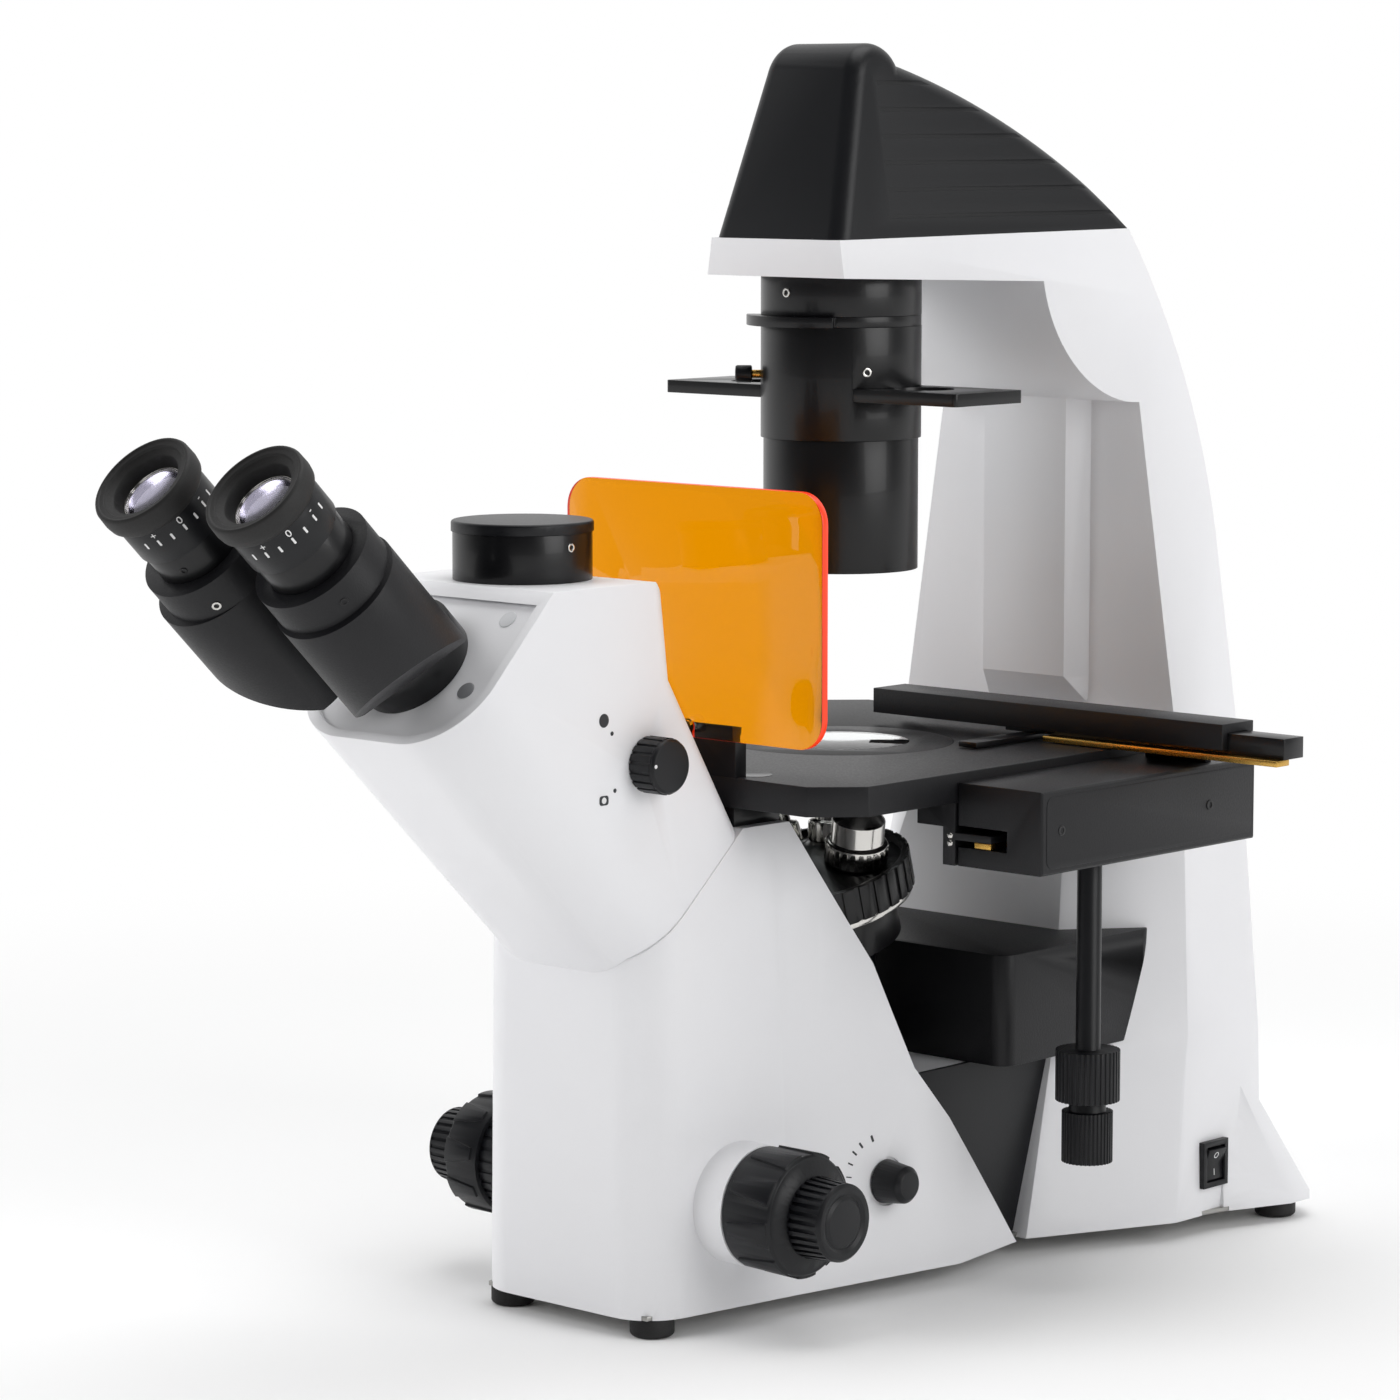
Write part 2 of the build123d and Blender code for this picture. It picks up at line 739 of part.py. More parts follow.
def cap_outline():
    """Side view of the lamp cap: leaning front, rounded nose and a long falling back."""
    nose_y = -arm_front + cap_lean
    back_middle = (arm_rear_y - 81.8, cap_top - 28.0)
    back_end = (arm_rear_y - 35.8, arm_seam_z + 31.0)
    heel_middle = (arm_rear_y - 14.3, arm_seam_z + 14.0)
    with BuildSketch(Plane.YZ) as outline:
        with BuildLine():
            front = Line((-arm_front, arm_seam_z), (nose_y, cap_top - cap_nose_drop))
            crown = ThreePointArc(front @ 1, (nose_y + 13, cap_top), (nose_y + 30, cap_top - 9))
            back = ThreePointArc(crown @ 1, back_middle, back_end)
            heel = ThreePointArc(back @ 1, heel_middle, (arm_rear_y, arm_seam_z + 2))
            Line(heel @ 1, front @ 0)
        make_face()
    return outline.sketch


def make_lamp():
    face = cap_outline()
    outer = extrude(face, amount=60, both=True) & side_draft(0.0, arm_seam_z - 5, cap_top + 5)
    shoulders = [e for e in outer.edges() if e.center().Z > arm_seam_z + 25 and abs(e.center().X) > 15
                 and e.length > 20]
    outer = fillet(shoulders, cap_edge_radius)
    core = side_draft(cap_groove_depth, arm_seam_z - 5, cap_top + 5)
    for i in range(cap_groove_count):
        z = cap_top - cap_groove_top - i * cap_groove_pitch
        band = block(-2 * arm_half_width, 2 * arm_half_width, cap_groove_front, rear_face, z - cap_groove_width / 2,
                     z + cap_groove_width / 2)
        outer -= band - core
    inner = extrude(offset(face, -cap_wall), amount=60, both=True)
    inner &= side_draft(cap_wall, arm_seam_z - 5, cap_top + 5)
    save("lamp_cap", outer - inner - Pos(0, 0, -2 * cap_wall) * inner)
    floor = arm_seam_z - lamp_bay_depth
    module = block(-lamp_half_width, lamp_half_width, -lamp_front, lamp_rear, floor, floor + lamp_height)
    save("lamp_module", module - disc(collector_radius / 2, floor - over, floor + 4))
    save("collector_lens", disc(collector_radius - running_gap, floor - collector_thickness, floor))


def make_condenser(stand):
    save("condenser_upper_tube", tube(condenser_radius, condenser_bore, iris_top, arm_seam_z - 10) - stand)
    body = tube(condenser_radius, condenser_bore, lower_tube_top_z, iris_z)
    body += tube(iris_bore, condenser_bore, iris_z, iris_top)
    half = slider_width / 2 + running_gap
    body -= block(-slider_length, slider_length, -half, half, slider_z - running_gap,
                  slider_z + slider_thickness + running_gap)
    save("condenser_body", body)
    seat = condenser_bottom + front_lens_ledge
    lower = tube(lower_tube_radius, condenser_bore, seat, lower_tube_top_z)
    lower += tube(lower_tube_radius, condenser_bore - front_lens_ledge, condenser_bottom, seat)
    save("condenser_lower_tube", lower)
    save("condenser_lens", disc(condenser_bore - running_gap, seat, seat + front_lens_thickness))
    sweep = iris_lever_end - iris_lever_start
    with BuildSketch(Plane.XY.offset(iris_z + running_gap)) as outline:
        with BuildLine():
            rim = CenterArc((0, 0), iris_lever_radius, iris_lever_start, sweep)
            Line(rim @ 1, (0, 0))
            Line((0, 0), rim @ 0)
        make_face()
        Circle(condenser_radius - 0.1)
        Circle(iris_bore + running_gap, mode=Mode.SUBTRACT)
    save("iris_ring", extrude(outline.sketch, amount=iris_height - 2 * running_gap))
    slide = block(-slider_length / 2, slider_length / 2, -slider_width / 2, slider_width / 2, slider_z,
                  slider_z + slider_thickness)
    slide = fillet(slide.edges().filter_by(Axis.Z), 2.0)
    for i in (-1, 0, 1):
        slide -= disc(slider_hole_radius, slider_z - over, slider_z + slider_thickness + over, i * slider_hole_pitch)
    save("phase_slider", slide)


def make_stage():
    plate = block(-stage_half_width, stage_half_width, -stage_half_depth, stage_half_depth, stage_bottom, stage_top)
    plate = chamfer(plate.edges().filter_by(Axis.Z), stage_corner)
    plate -= disc(insert_radius - insert_ledge, stage_bottom - over, stage_top + over)
    plate -= disc(insert_radius + insert_gap, stage_top - insert_thickness, stage_top + over)
    save("stage_plate", plate)
    insert = disc(insert_radius, stage_top - insert_thickness, stage_top)
    insert -= disc(glass_radius, stage_top - glass_thickness, stage_top + over)
    save("stage_insert", insert - disc(glass_radius - glass_ledge, stage_bottom, stage_top))
    save("stage_glass", disc(glass_radius - insert_gap, stage_top - glass_thickness, stage_top))
    save("stage_support", block(-support_half_width, support_half_width, -front_top_outer, -front_top_inner,
                                front_top_z, stage_bottom))


def make_shield():
    front = shield_back_y - shield_thickness
    hole = on_screw_axis(shield_screw_radius, shield_back_y, shield_back_y + shield_screw_grip)
    bracket = block(bracket_left, bracket_right, shield_back_y, shield_back_y + bracket_depth, stage_top,
                    stage_top + bracket_height)
    save("shield_bracket", bracket - hole)
    plate = block(shield_left, shield_right, front, shield_back_y, shield_bottom, shield_bottom + shield_height)
    plate = fillet(plate.edges().filter_by(Axis.Y), shield_corner)
    slot_half = shield_screw_radius + loose_gap
    plate -= block(shield_screw_x - slot_half, shield_screw_x + slot_half, front - over, shield_back_y + over,
                   shield_bottom - over, shield_screw_z)
    plate -= on_screw_axis(slot_half, front - over, shield_back_y + over)
    save("orange_shield", plate)
    save("shield_screw", on_screw_axis(shield_screw_head, front - shield_screw_head_length, front) + on_screw_axis(
        shield_screw_radius, front, shield_back_y + shield_screw_grip))


def on_screw_axis(radius, y0, y1):
    """Round bar along Y on the axis of the shield screw."""
    return Pos(shield_screw_x, (y0 + y1) / 2, shield_screw_z) * Rot(90, 0, 0) * Cylinder(radius, y1 - y0)


def make_nosepiece():
    mount = nosepiece_place(mount_start) * turned((0, 0), (mount_radius, 0), (mount_radius, race_start - mount_start),
                                                  (0, race_start - mount_start))
    carrier = mount + disc(neck_radius, neck_bottom_z, neck_top_z, 0, neck_y)
    carrier -= nosepiece_place(race_start) * Pos(0, 0, 40) * Cylinder(2 * mount_radius, 80)
    carrier += nosepiece_place(race_start + (turret_pivot_length - over) / 2) * Cylinder(
        turret_pivot_radius, turret_pivot_length + over)
    carrier -= disc(carrier_beam_radius, neck_bottom_z - over, stage_bottom)
    save("nosepiece_carrier", carrier)
    race_height = turret_start - race_start - loose_gap
    race = nosepiece_place(race_start + loose_gap) * turned((race_bore, 0), (race_radius, 0),
                                                            (race_radius, race_height), (race_bore, race_height))
    save("nosepiece_race", race)
    rim = turret_rim - turret_start
    seat_fall = tan(radians(nosepiece_tilt))
    hub_height = cone_length / cos(radians(nosepiece_tilt)) - turret_start
    inner = turret_radius - 3.5
    dome = turned((0, 0), (inner + over, 0), (inner + over, rim - 2), (inner, hub_height - inner * seat_fall),
                  (0, hub_height))
    grip = ribbed(turret_radius, rim, turret_ribs, 1.0, 2.6) - Cylinder(inner, 3 * rim)
    turret = nosepiece_place(turret_start) * (dome + grip)
    for i in range(turret_positions):
        turret -= objective_place(i, cone_length) * Pos(0, 0, 15) * Cylinder(objective_flange + 1, 30)
        turret -= objective_place(i, cone_length) * Cylinder(objective_thread, 2 * objective_thread_length + over)
        turret -= objective_place(i, cone_length) * Cylinder(objective_thread - 1.5, cone_length)
    turret -= nosepiece_place(turret_start) * Cylinder(turret_pivot_radius + running_gap, 2 * turret_pivot_length)
    save("nosepiece_turret", turret)
    lenses = []
    for i, length, barrel, tip in ((0, 24.0, 11.6, 7.5), (1, 28.0, 11.0, 5.0), (2, 30.0, 11.0, 4.0),
                                   (4, 26.0, 11.6, 6.0)):
        lenses.append(objective_place(i, cone_length) * make_objective(length, barrel, tip))
    save("objectives", *lenses)


def make_objective(length, barrel, tip):
    """Objective up from its shoulder: thread, grip ring, barrel and tapered nose, bored for the light."""
    thread = objective_thread - 2 * running_gap
    neck = length * 0.75
    bore = tip * 0.6
    return turned((bore, -objective_thread_length), (thread, -objective_thread_length), (thread, 0),
                  (objective_flange, 0), (objective_flange, objective_grip), (barrel, objective_grip + over),
                  (barrel, neck), (tip + 2, length - 2), (tip, length), (bore, length))


def make_filter_housing(stand):
    box = block(-filter_half_width, filter_half_width, filter_front_y, filter_rear_y, filter_bottom_z, filter_top)
    box = fillet(box.edges().filter_by(Axis.Z), filter_corner)
    box -= stand
    save("filter_housing", box.solids().sort_by(SortBy.VOLUME)[-1])


def coarse_knob(length):
    """Coarse knob up from z = 0: raised conical front face and tapered grip pads around the rim."""
    body_radius = coarse_radius - coarse_grip_depth
    tip = length + coarse_cone_height
    knob = turned((0, 0), (body_radius, 0), (body_radius, length - 1), (body_radius - 1, length),
                  (coarse_cone_radius, length), (fine_radius, tip), (0, tip))
    wide = coarse_radius * 0.42
    narrow = coarse_radius * 0.2
    ring = disc(coarse_radius, 0, length) - disc(coarse_radius - 2 * coarse_grip_depth, -over, length + over)
    pads = []
    for i in range(coarse_grips):
        pad = extrude(make_face(Plane.YZ * Polyline((-narrow / 2, 3), (narrow / 2, 3), (wide / 2, length - 1),
                                                    (-wide / 2, length - 1), close=True)), amount=coarse_radius + over)
        pads.append(Rot(0, 0, 360 * i / coarse_grips) * pad & ring)
    return knob + pads


def fine_knob(length):
    """Fine knob up from z = 0: tapered ribbed grip, smooth round rim and a groove in the end face."""
    grip = fine_rim_start - fine_start
    knob = ribbed(fine_radius, grip, fine_ribs, fine_rib_depth, 1.6)
    knob &= turned((0, 0), (fine_radius, 0), (fine_rim_radius, grip), (0, grip))
    groove_in = fine_groove_radius - 1.5
    groove_out = fine_groove_radius + 1.5
    knob += turned((0, grip), (fine_rim_radius, grip), (fine_rim_radius, length - fine_rim_round),
                   (fine_rim_radius - fine_rim_round, length), (groove_out, length),
                   (fine_groove_radius, length - fine_groove_depth), (groove_in, length), (0, length))
    return knob - Cylinder(fine_shaft_radius + running_gap, length)


def make_focus():
    tube_bore = across(fine_shaft_radius + running_gap, -focus_reach, focus_reach, focus_y, focus_z)
    shaft_bore = across(coarse_shaft_radius + running_gap, -focus_reach, focus_reach, focus_y, focus_z)
    shaft = across(coarse_shaft_radius, -coarse_end, coarse_end, focus_y, focus_z)
    save("coarse_focus_shaft", shaft - tube_bore)
    coarse = []
    fine = []
    fine_length = focus_reach - fine_start
    for side, start in ((-1, left_coarse_start), (1, coarse_start)):
        place = on_side(side, start, focus_y, focus_z)
        coarse.append(place * coarse_knob(coarse_end - start) - shaft_bore)
        fine.append(on_side(side, fine_start, focus_y, focus_z) * fine_knob(fine_length))
    save("coarse_focus_knobs", *coarse)
    save("fine_focus_knobs", *fine)
    half = fine_start + fine_length / 2 - loose_gap
    save("fine_focus_shaft", across(fine_shaft_radius, -half, half, focus_y, focus_z))
    ring = ribbed(tension_radius, tension_end - tension_start, tension_ribs, 0.8, 1.8)
    ring -= Cylinder(tension_bore + running_gap, 2 * tension_radius)
    save("tension_ring", on_side(-1, tension_start, focus_y, focus_z) * ring)


def make_controls(stand):
    knob = turned((0, 0), (dial_radius, 0), (dial_tip_radius, dial_length - 2), (dial_tip_radius - 2, dial_length),
                  (0, dial_length))
    knob += disc(dial_shaft_radius, over - dial_shaft_length, 0)
    save("brightness_dial", on_side(1, dial_x + loose_gap, dial_y, dial_z) * knob)
    half_width = switch_width / 2
    half_height = switch_height / 2
    pocket = rear_half_width - switch_depth
    outer = rear_half_width + switch_proud
    flange = block(rear_half_width - 3, outer, switch_y - half_width, switch_y + half_width,
                   switch_z - half_height, switch_z + half_height)
    inside = 1 + loose_gap
    shell = block(pocket, rear_half_width, switch_y - half_width + inside, switch_y + half_width - inside,
                  switch_z - half_height + inside, switch_z + half_height - inside)
    frame = (flange - stand) + shell
    frame -= block(pocket + 2, outer + over, switch_y - half_width + switch_frame, switch_y + half_width - switch_frame,
                   switch_z - half_height + switch_frame, switch_z + half_height - switch_frame)
    save("switch_frame", frame)
    reach = half_height - switch_frame - 2 * loose_gap
    rocker_half = half_width - switch_frame - loose_gap
    outline = make_face(Plane.XZ * Polyline((-3, -reach + 0.4), (2.6, -reach + 0.4), (1.2, 0), (2.6, reach - 0.4),
                                            (-3, reach - 0.4), close=True))
    rocker = Rot(0, rocker_tilt, 0) * extrude(outline, amount=rocker_half, both=True)
    save("power_rocker", Pos(rear_half_width - 0.5, switch_y, switch_z) * rocker)


def make_mechanical_stage():
    rail_outer = stage_half_width - rail_side_gap
    rail_inner = rail_outer - rail_width
    rail = block(rail_inner, rail_outer, rail_front, rail_rear, drive_bottom, stage_bottom)
    rail += block(rail_inner - rail_foot_width, rail_inner, rail_front, rail_rear, stage_bottom - rail_foot_height,
                  stage_bottom)
    tongue_end = rail_outer + tongue_reach
    rail += block(rail_outer, tongue_end, rail_front, rail_rear, tongue_z, tongue_z + tongue_thickness)
    save("y_guide_rail", rail)
    save("y_rack", block(tongue_end - rack_width, tongue_end, rail_front, rail_rear,
                         tongue_z - rack_height, tongue_z))
    box = block(drive_inner, drive_outer, drive_front, drive_rear, drive_bottom, drive_top)
    box = chamfer(box.faces().sort_by(Axis.X)[-1].edges(), drive_edge)
    box -= block(drive_inner - over, drive_inner + groove_reach, drive_front - over, drive_rear + over,
                 groove_bottom, groove_top)
    shaft_top = drive_top - 10
    box -= disc(y_shaft_radius + running_gap, drive_bottom - over, groove_bottom + over, drive_shaft_x, drive_shaft_y)
    box -= disc(y_shaft_neck_radius + running_gap, drive_bottom, shaft_top + loose_gap, drive_shaft_x,
                drive_shaft_y)
    save("stage_drive_box", box)
    y_knob = disc(y_shaft_radius, y_knob_bottom, groove_bottom, drive_shaft_x, drive_shaft_y)
    y_knob += disc(y_shaft_neck_radius, groove_bottom, shaft_top, drive_shaft_x, drive_shaft_y)
    y_knob += Pos(drive_shaft_x, drive_shaft_y, y_knob_bottom) * ribbed(
        y_knob_radius, y_knob_top - y_knob_bottom, knob_ribs, 0.5, 1.0)
    inner_bore = disc(x_shaft_radius + running_gap, y_knob_bottom - over, shaft_top + over, drive_shaft_x,
                      drive_shaft_y)
    save("y_drive_knob", y_knob - inner_bore)
    x_knob = disc(x_shaft_radius, x_knob_bottom, shaft_top, drive_shaft_x, drive_shaft_y)
    x_knob += disc(x_knob_radius - 3, x_knob_top, y_knob_bottom - loose_gap, drive_shaft_x, drive_shaft_y)
    x_knob += Pos(drive_shaft_x, drive_shaft_y, x_knob_bottom) * ribbed(
        x_knob_radius, x_knob_top - x_knob_bottom, knob_ribs, 0.5, 0.9)
    save("x_drive_knob", x_knob)
    bar = block(bar_left, bar_right, bar_front, bar_rear, bar_bottom, bar_top)
    near = bar_front + bar_front_wall
    far = bar_rear - bar_rear_wall
    bar -= block(bar_left - over, bar_right + over, near, far, bar_bottom - over, bar_top - bar_roof)
    bar += block(drive_inner + pedestal_inset, drive_outer - pedestal_inset, far, bar_rear, drive_top, bar_bottom)
    save("x_guide_bar", bar)
    save("x_slide", block(slide_left, slide_right, near + running_gap, far - running_gap, slide_bottom,
                          bar_top - bar_roof - running_gap))
    save("x_rack", block(x_rack_left, slide_right, x_rack_front, x_rack_front + x_rack_width,
                         slide_bottom - x_rack_height, slide_bottom))
    save("specimen_finger", block(finger_left, finger_left + finger_width, finger_front, finger_rear,
                                  slide_bottom - x_rack_height, slide_bottom))


stand_casting = make_base()
make_head()
make_binocular()
make_lamp()
make_condenser(stand_casting)
make_stage()
make_shield()
make_nosepiece()
make_filter_housing(stand_casting)
make_focus()
make_controls(stand_casting)
make_mechanical_stage()

for name, shape in parts.items():
    export_step(shape, f"parts/{name}.step")
    box = shape.bounding_box()
    print(name, [round(v, 1) for v in (*box.min, *box.max)], len(shape.solids()))
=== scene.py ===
# %% [markdown]
# # An inverted laboratory microscope
# The imported model is loaded first and stays fixed: every piece of this lesson is placed in its frame,
# in metres, with +Z up and the optical axis on Z.

# %% Load the frame
import json
from math import cos, radians, sin

import bpy
from mathutils import Matrix, Vector


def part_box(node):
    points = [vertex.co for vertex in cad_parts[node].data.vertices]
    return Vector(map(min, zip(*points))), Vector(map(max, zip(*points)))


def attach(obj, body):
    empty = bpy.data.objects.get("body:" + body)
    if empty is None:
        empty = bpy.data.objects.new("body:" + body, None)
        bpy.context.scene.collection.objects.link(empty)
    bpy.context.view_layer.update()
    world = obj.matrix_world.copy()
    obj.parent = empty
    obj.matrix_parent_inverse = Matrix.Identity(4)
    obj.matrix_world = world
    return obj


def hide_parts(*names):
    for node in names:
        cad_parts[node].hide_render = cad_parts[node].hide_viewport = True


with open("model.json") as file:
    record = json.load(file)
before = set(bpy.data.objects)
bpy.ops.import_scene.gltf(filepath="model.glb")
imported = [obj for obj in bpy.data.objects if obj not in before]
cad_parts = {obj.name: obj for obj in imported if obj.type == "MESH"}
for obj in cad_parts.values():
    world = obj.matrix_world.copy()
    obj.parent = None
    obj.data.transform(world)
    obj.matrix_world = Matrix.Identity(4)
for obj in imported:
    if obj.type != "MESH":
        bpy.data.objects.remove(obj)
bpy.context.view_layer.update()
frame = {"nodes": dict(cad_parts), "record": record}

mm = 0.001
upright = (0, 0, 1)
to_the_right = (1, 0, 0)
bodies = frame["record"]["behaviour"]["bodies"]
body_of_node = {node: body for body, nodes in bodies.items() for node in nodes}
slot_of_node = {entry["node"]: entry["material_slot"] for entry in frame["record"]["subparts"]}

# %% [markdown]
# ## The camera
# The photograph was taken with a long lens from the front right, slightly above. A camera could be
# aimed at a target by a constraint, but here its place and its two angles are known, so we state them.
# A long lens keeps the sides of the stand nearly parallel, as they are in the picture.

# %% Camera
sensor_mm = 36.0
photo_pixels = 1400
focal_pixels = 4806
looking_down = radians(6.96)
azimuth = radians(42.71)
camera_data = bpy.data.cameras.new("camera")
camera_data.sensor_width = sensor_mm
camera_data.lens = focal_pixels / photo_pixels * sensor_mm
camera_data.clip_end = 50
camera = bpy.data.objects.new("camera", camera_data)
bpy.context.scene.collection.objects.link(camera)
camera.location = (1.368, -1.572, 0.500)
camera.rotation_euler = (radians(90) - looking_down, 0, azimuth)
bpy.context.scene.camera = camera
bpy.context.scene.view_settings.view_transform = "Standard"
print("lens", round(camera_data.lens, 1), "mm")

# %% [markdown]
# ## Colours and nodes
# Paint charts and photographs give colours as sRGB hex values, while a shader works in linear light.
# One function turns one into the other. A second adds a node with its settings and its links, which
# keeps each material a short list that reads from top to bottom.

# %% Helpers for materials
def linear(hex_colour):
    channels = [int(hex_colour[i:i + 2], 16) / 255 for i in (0, 2, 4)]
    return tuple(c / 12.92 if c <= 0.04045 else ((c + 0.055) / 1.055) ** 2.4 for c in channels) + (1.0,)


def add(tree, kind, settings, links):
    node = tree.nodes.new(kind)
    for name, value in settings.items():
        if isinstance(name, int) or name in node.inputs:
            node.inputs[name].default_value = value
        else:
            setattr(node, name, value)
    for name, socket in links.items():
        tree.links.new(socket, node.inputs[name])
    return node


# %% [markdown]
# ## Sprayed, moulded and blasted surfaces
# Most of the instrument has one of three skins: powder coat on cast aluminium, anodised aluminium and
# moulded ABS. They differ in colour, gloss and grain, but are built up alike: a fine grain in the bump,
# a slow drift in the colour and a slow drift in the gloss. The grain's size is given in millimetres.

# %% Grained finish
def grained(name, light, dark, roughness, drift, grain_mm, relief_mm, metallic=0.0, coat=0.0):
    material = bpy.data.materials.new(name)
    material.use_nodes = True
    tree = material.node_tree
    shader = tree.nodes["Principled BSDF"]
    place = add(tree, "ShaderNodeTexCoord", {}, {}).outputs["Object"]
    slow = add(tree, "ShaderNodeTexNoise", {"Scale": 14.0, "Detail": 3.0}, {"Vector": place})
    fine = add(tree, "ShaderNodeTexNoise", {"Scale": 1 / (grain_mm * mm), "Detail": 2.0}, {"Vector": place})
    tint = add(tree, "ShaderNodeMixRGB", {"Color1": linear(dark), "Color2": linear(light)},
               {"Fac": slow.outputs["Fac"]})
    gloss = add(tree, "ShaderNodeMapRange", {"To Min": roughness - drift, "To Max": roughness + drift},
                {"Value": fine.outputs["Fac"]})
    bump = add(tree, "ShaderNodeBump", {"Strength": 0.6, "Distance": relief_mm * mm},
               {"Height": fine.outputs["Fac"]})
    tree.links.new(tint.outputs["Color"], shader.inputs["Base Color"])
    tree.links.new(gloss.outputs["Result"], shader.inputs["Roughness"])
    tree.links.new(bump.outputs["Normal"], shader.inputs["Normal"])
    shader.inputs["Metallic"].default_value = metallic
    shader.inputs["Coat Weight"].default_value = coat
    return material


# Powder coat bakes to a faint orange peel, so its highlights are broad and a little uneven.
white_powder_coat = grained("white_powder_coat", "ECECEE", "E6E6E9", 0.42, 0.05, 1.2, 0.03)
# Textured black powder coat on the stage and the drive box shows fine bright specks of grain.
black_powder_coat = grained("black_powder_coat", "161619", "0F0F12", 0.46, 0.10, 0.9, 0.10)
# Black anodised aluminium keeps some of the metal's sheen under a thin dark layer.
black_anodised = grained("black_anodised_aluminium", "0D0D10", "08080A", 0.33, 0.06, 0.5, 0.02, coat=0.1)
# Moulded ABS takes the tool's spark-eroded grain, about half a millimetre from peak to peak.
black_abs = grained("moulded_abs_black", "101115", "0A0B0E", 0.40, 0.06, 0.7, 0.05)
# Dark surfaces reflect a little less than the default plastic, since their skin isn't polished.
for finish in (black_powder_coat, black_anodised, black_abs):
    finish.node_tree.nodes["Principled BSDF"].inputs["Specular IOR Level"].default_value = 0.35
# Eyecup and foot rubber is dull and slightly brown-black.
black_rubber = grained("nitrile_rubber", "151414", "0E0D0D", 0.62, 0.08, 0.8, 0.04)
# Grey ABS has the same moulded grain, which shows as a soft sheen on the power supply and one plug. On the
# plug near the binocular housing its darker grey is painted shade, for the housing's shadow on that part of
# the face.
grey_abs_and_plug_shade = grained("moulded_abs_grey_and_plug_shade", "7E7F82", "747578", 0.40, 0.05, 0.7, 0.04)
# The other plugs are moulded smoother and in a light grey that hides beside the paint.
plug_grey = grained("moulded_plug_light_grey", "D2D3D5", "CACBCE", 0.40, 0.04, 0.7, 0.02)
# Bright nickel on the bearing ring, screws and objectives is smooth, with a slight unevenness.
bright_nickel = grained("bright_nickel_plate", "D8D6D2", "C9C7C3", 0.16, 0.05, 0.6, 0.01, metallic=1.0)
# Ground steel on the shafts and the bottom cover is darker than nickel and blurs what it reflects.
ground_steel = grained("ground_steel", "B4B3B0", "A3A29F", 0.32, 0.08, 0.5, 0.02, metallic=1.0)
# Brass on the racks is left bare as the cutter leaves it, with warm and slightly blurred highlights.
milled_brass = grained("milled_brass", "D9B060", "C79A48", 0.28, 0.08, 0.5, 0.02, metallic=1.0)
# Pad-printed ink lies on the surface as a thin, slightly uneven film.
white_ink = grained("pad_printed_white_ink", "EDEDED", "DADADA", 0.5, 0.05, 0.4, 0.01)
dark_ink = grained("pad_printed_dark_ink", "2A2C30", "202226", 0.5, 0.05, 0.4, 0.01)
print(len(bpy.data.materials), "materials so far")

# %% [markdown]
# ## Clear materials
# The shield is a sheet of cast acrylic, dyed orange to stop scattered blue light. Light crosses two
# faces, so its colour is written at the depth that the sheet shows. Light that is trapped in the sheet
# leaves through its sawn edge, which therefore looks redder and seems to glow; we paint that glow as a
# redder colour and a faint emission on the edge. Lenses are glass with a
# thin coating, which we add as a coat with its own tint.

# %% Clear finish
def clear(name, colour, ior, roughness, coat, coat_tint):
    material = bpy.data.materials.new(name)
    material.use_nodes = True
    tree = material.node_tree
    shader = tree.nodes["Principled BSDF"]
    place = add(tree, "ShaderNodeTexCoord", {}, {}).outputs["Object"]
    wave = add(tree, "ShaderNodeTexNoise", {"Scale": 18.0, "Detail": 1.0}, {"Vector": place})
    bump = add(tree, "ShaderNodeBump", {"Strength": 0.2, "Distance": 0.02 * mm},
               {"Height": wave.outputs["Fac"]})
    tree.links.new(bump.outputs["Normal"], shader.inputs["Normal"])
    for socket, value in (("Base Color", linear(colour)), ("IOR", ior), ("Roughness", roughness),
                          ("Transmission Weight", 1.0), ("Coat Weight", coat),
                          ("Coat Tint", linear(coat_tint))):
        shader.inputs[socket].default_value = value
    return material


# Cast acrylic is as smooth as glass, so the shield reflects sharply over its dye.
orange_acrylic = clear("cast_acrylic_orange", "EC9600", 1.49, 0.01, 0.0, "FFFFFF")
# The coating on optical glass leaves a faint violet reflection.
coated_glass = clear("coated_optical_glass", "E3E6EC", 1.52, 0.01, 0.3, "CFC4EE")
# The disc in the stage is uncoated and has only a trace of blue-green.
plain_glass = clear("stage_glass", "F2F7F7", 1.52, 0.01, 0.0, "FFFFFF")
# The sawn edge gets a painted glow, a redder colour and a faint emission, for the light that the sheet
# collects over its whole face and sends out at the edge.
acrylic_edge_painted_glow = grained("sawn_acrylic_edge_painted_glow", "F03A0E", "DE300A", 0.30, 0.05, 0.5, 0.02)
painted_glow_shader = acrylic_edge_painted_glow.node_tree.nodes["Principled BSDF"]
# The emission is painted glow: the edge is no lamp.
painted_glow_shader.inputs["Emission Color"].default_value = linear("FF3A08")
painted_glow_shader.inputs["Emission Strength"].default_value = 0.35
print(len(bpy.data.materials), "materials with the clear ones")

# %% [markdown]
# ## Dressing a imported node
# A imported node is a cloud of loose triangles, so it shades flat and has razor edges. We leave it
# alone and work on a copy: merge its doubles, melt flat triangles into whole faces, bevel what is
# sharper than 30 degrees and smooth the rest. Real castings and turned parts all have such edges,
# and they are what catches the light.

# %% Dress a node
smooth_below = radians(32)


def only(piece):
    bpy.ops.object.select_all(action="DESELECT")
    piece.select_set(True)
    bpy.context.view_layer.objects.active = piece


def soften(piece, edge_mm):
    bevel = piece.modifiers.new("edges", "BEVEL")
    bevel.width = edge_mm * mm
    bevel.segments = 2
    bevel.limit_method = "ANGLE"
    bevel.angle_limit = radians(30)
    bevel.use_clamp_overlap = True
    bpy.ops.object.modifier_apply(modifier=bevel.name)


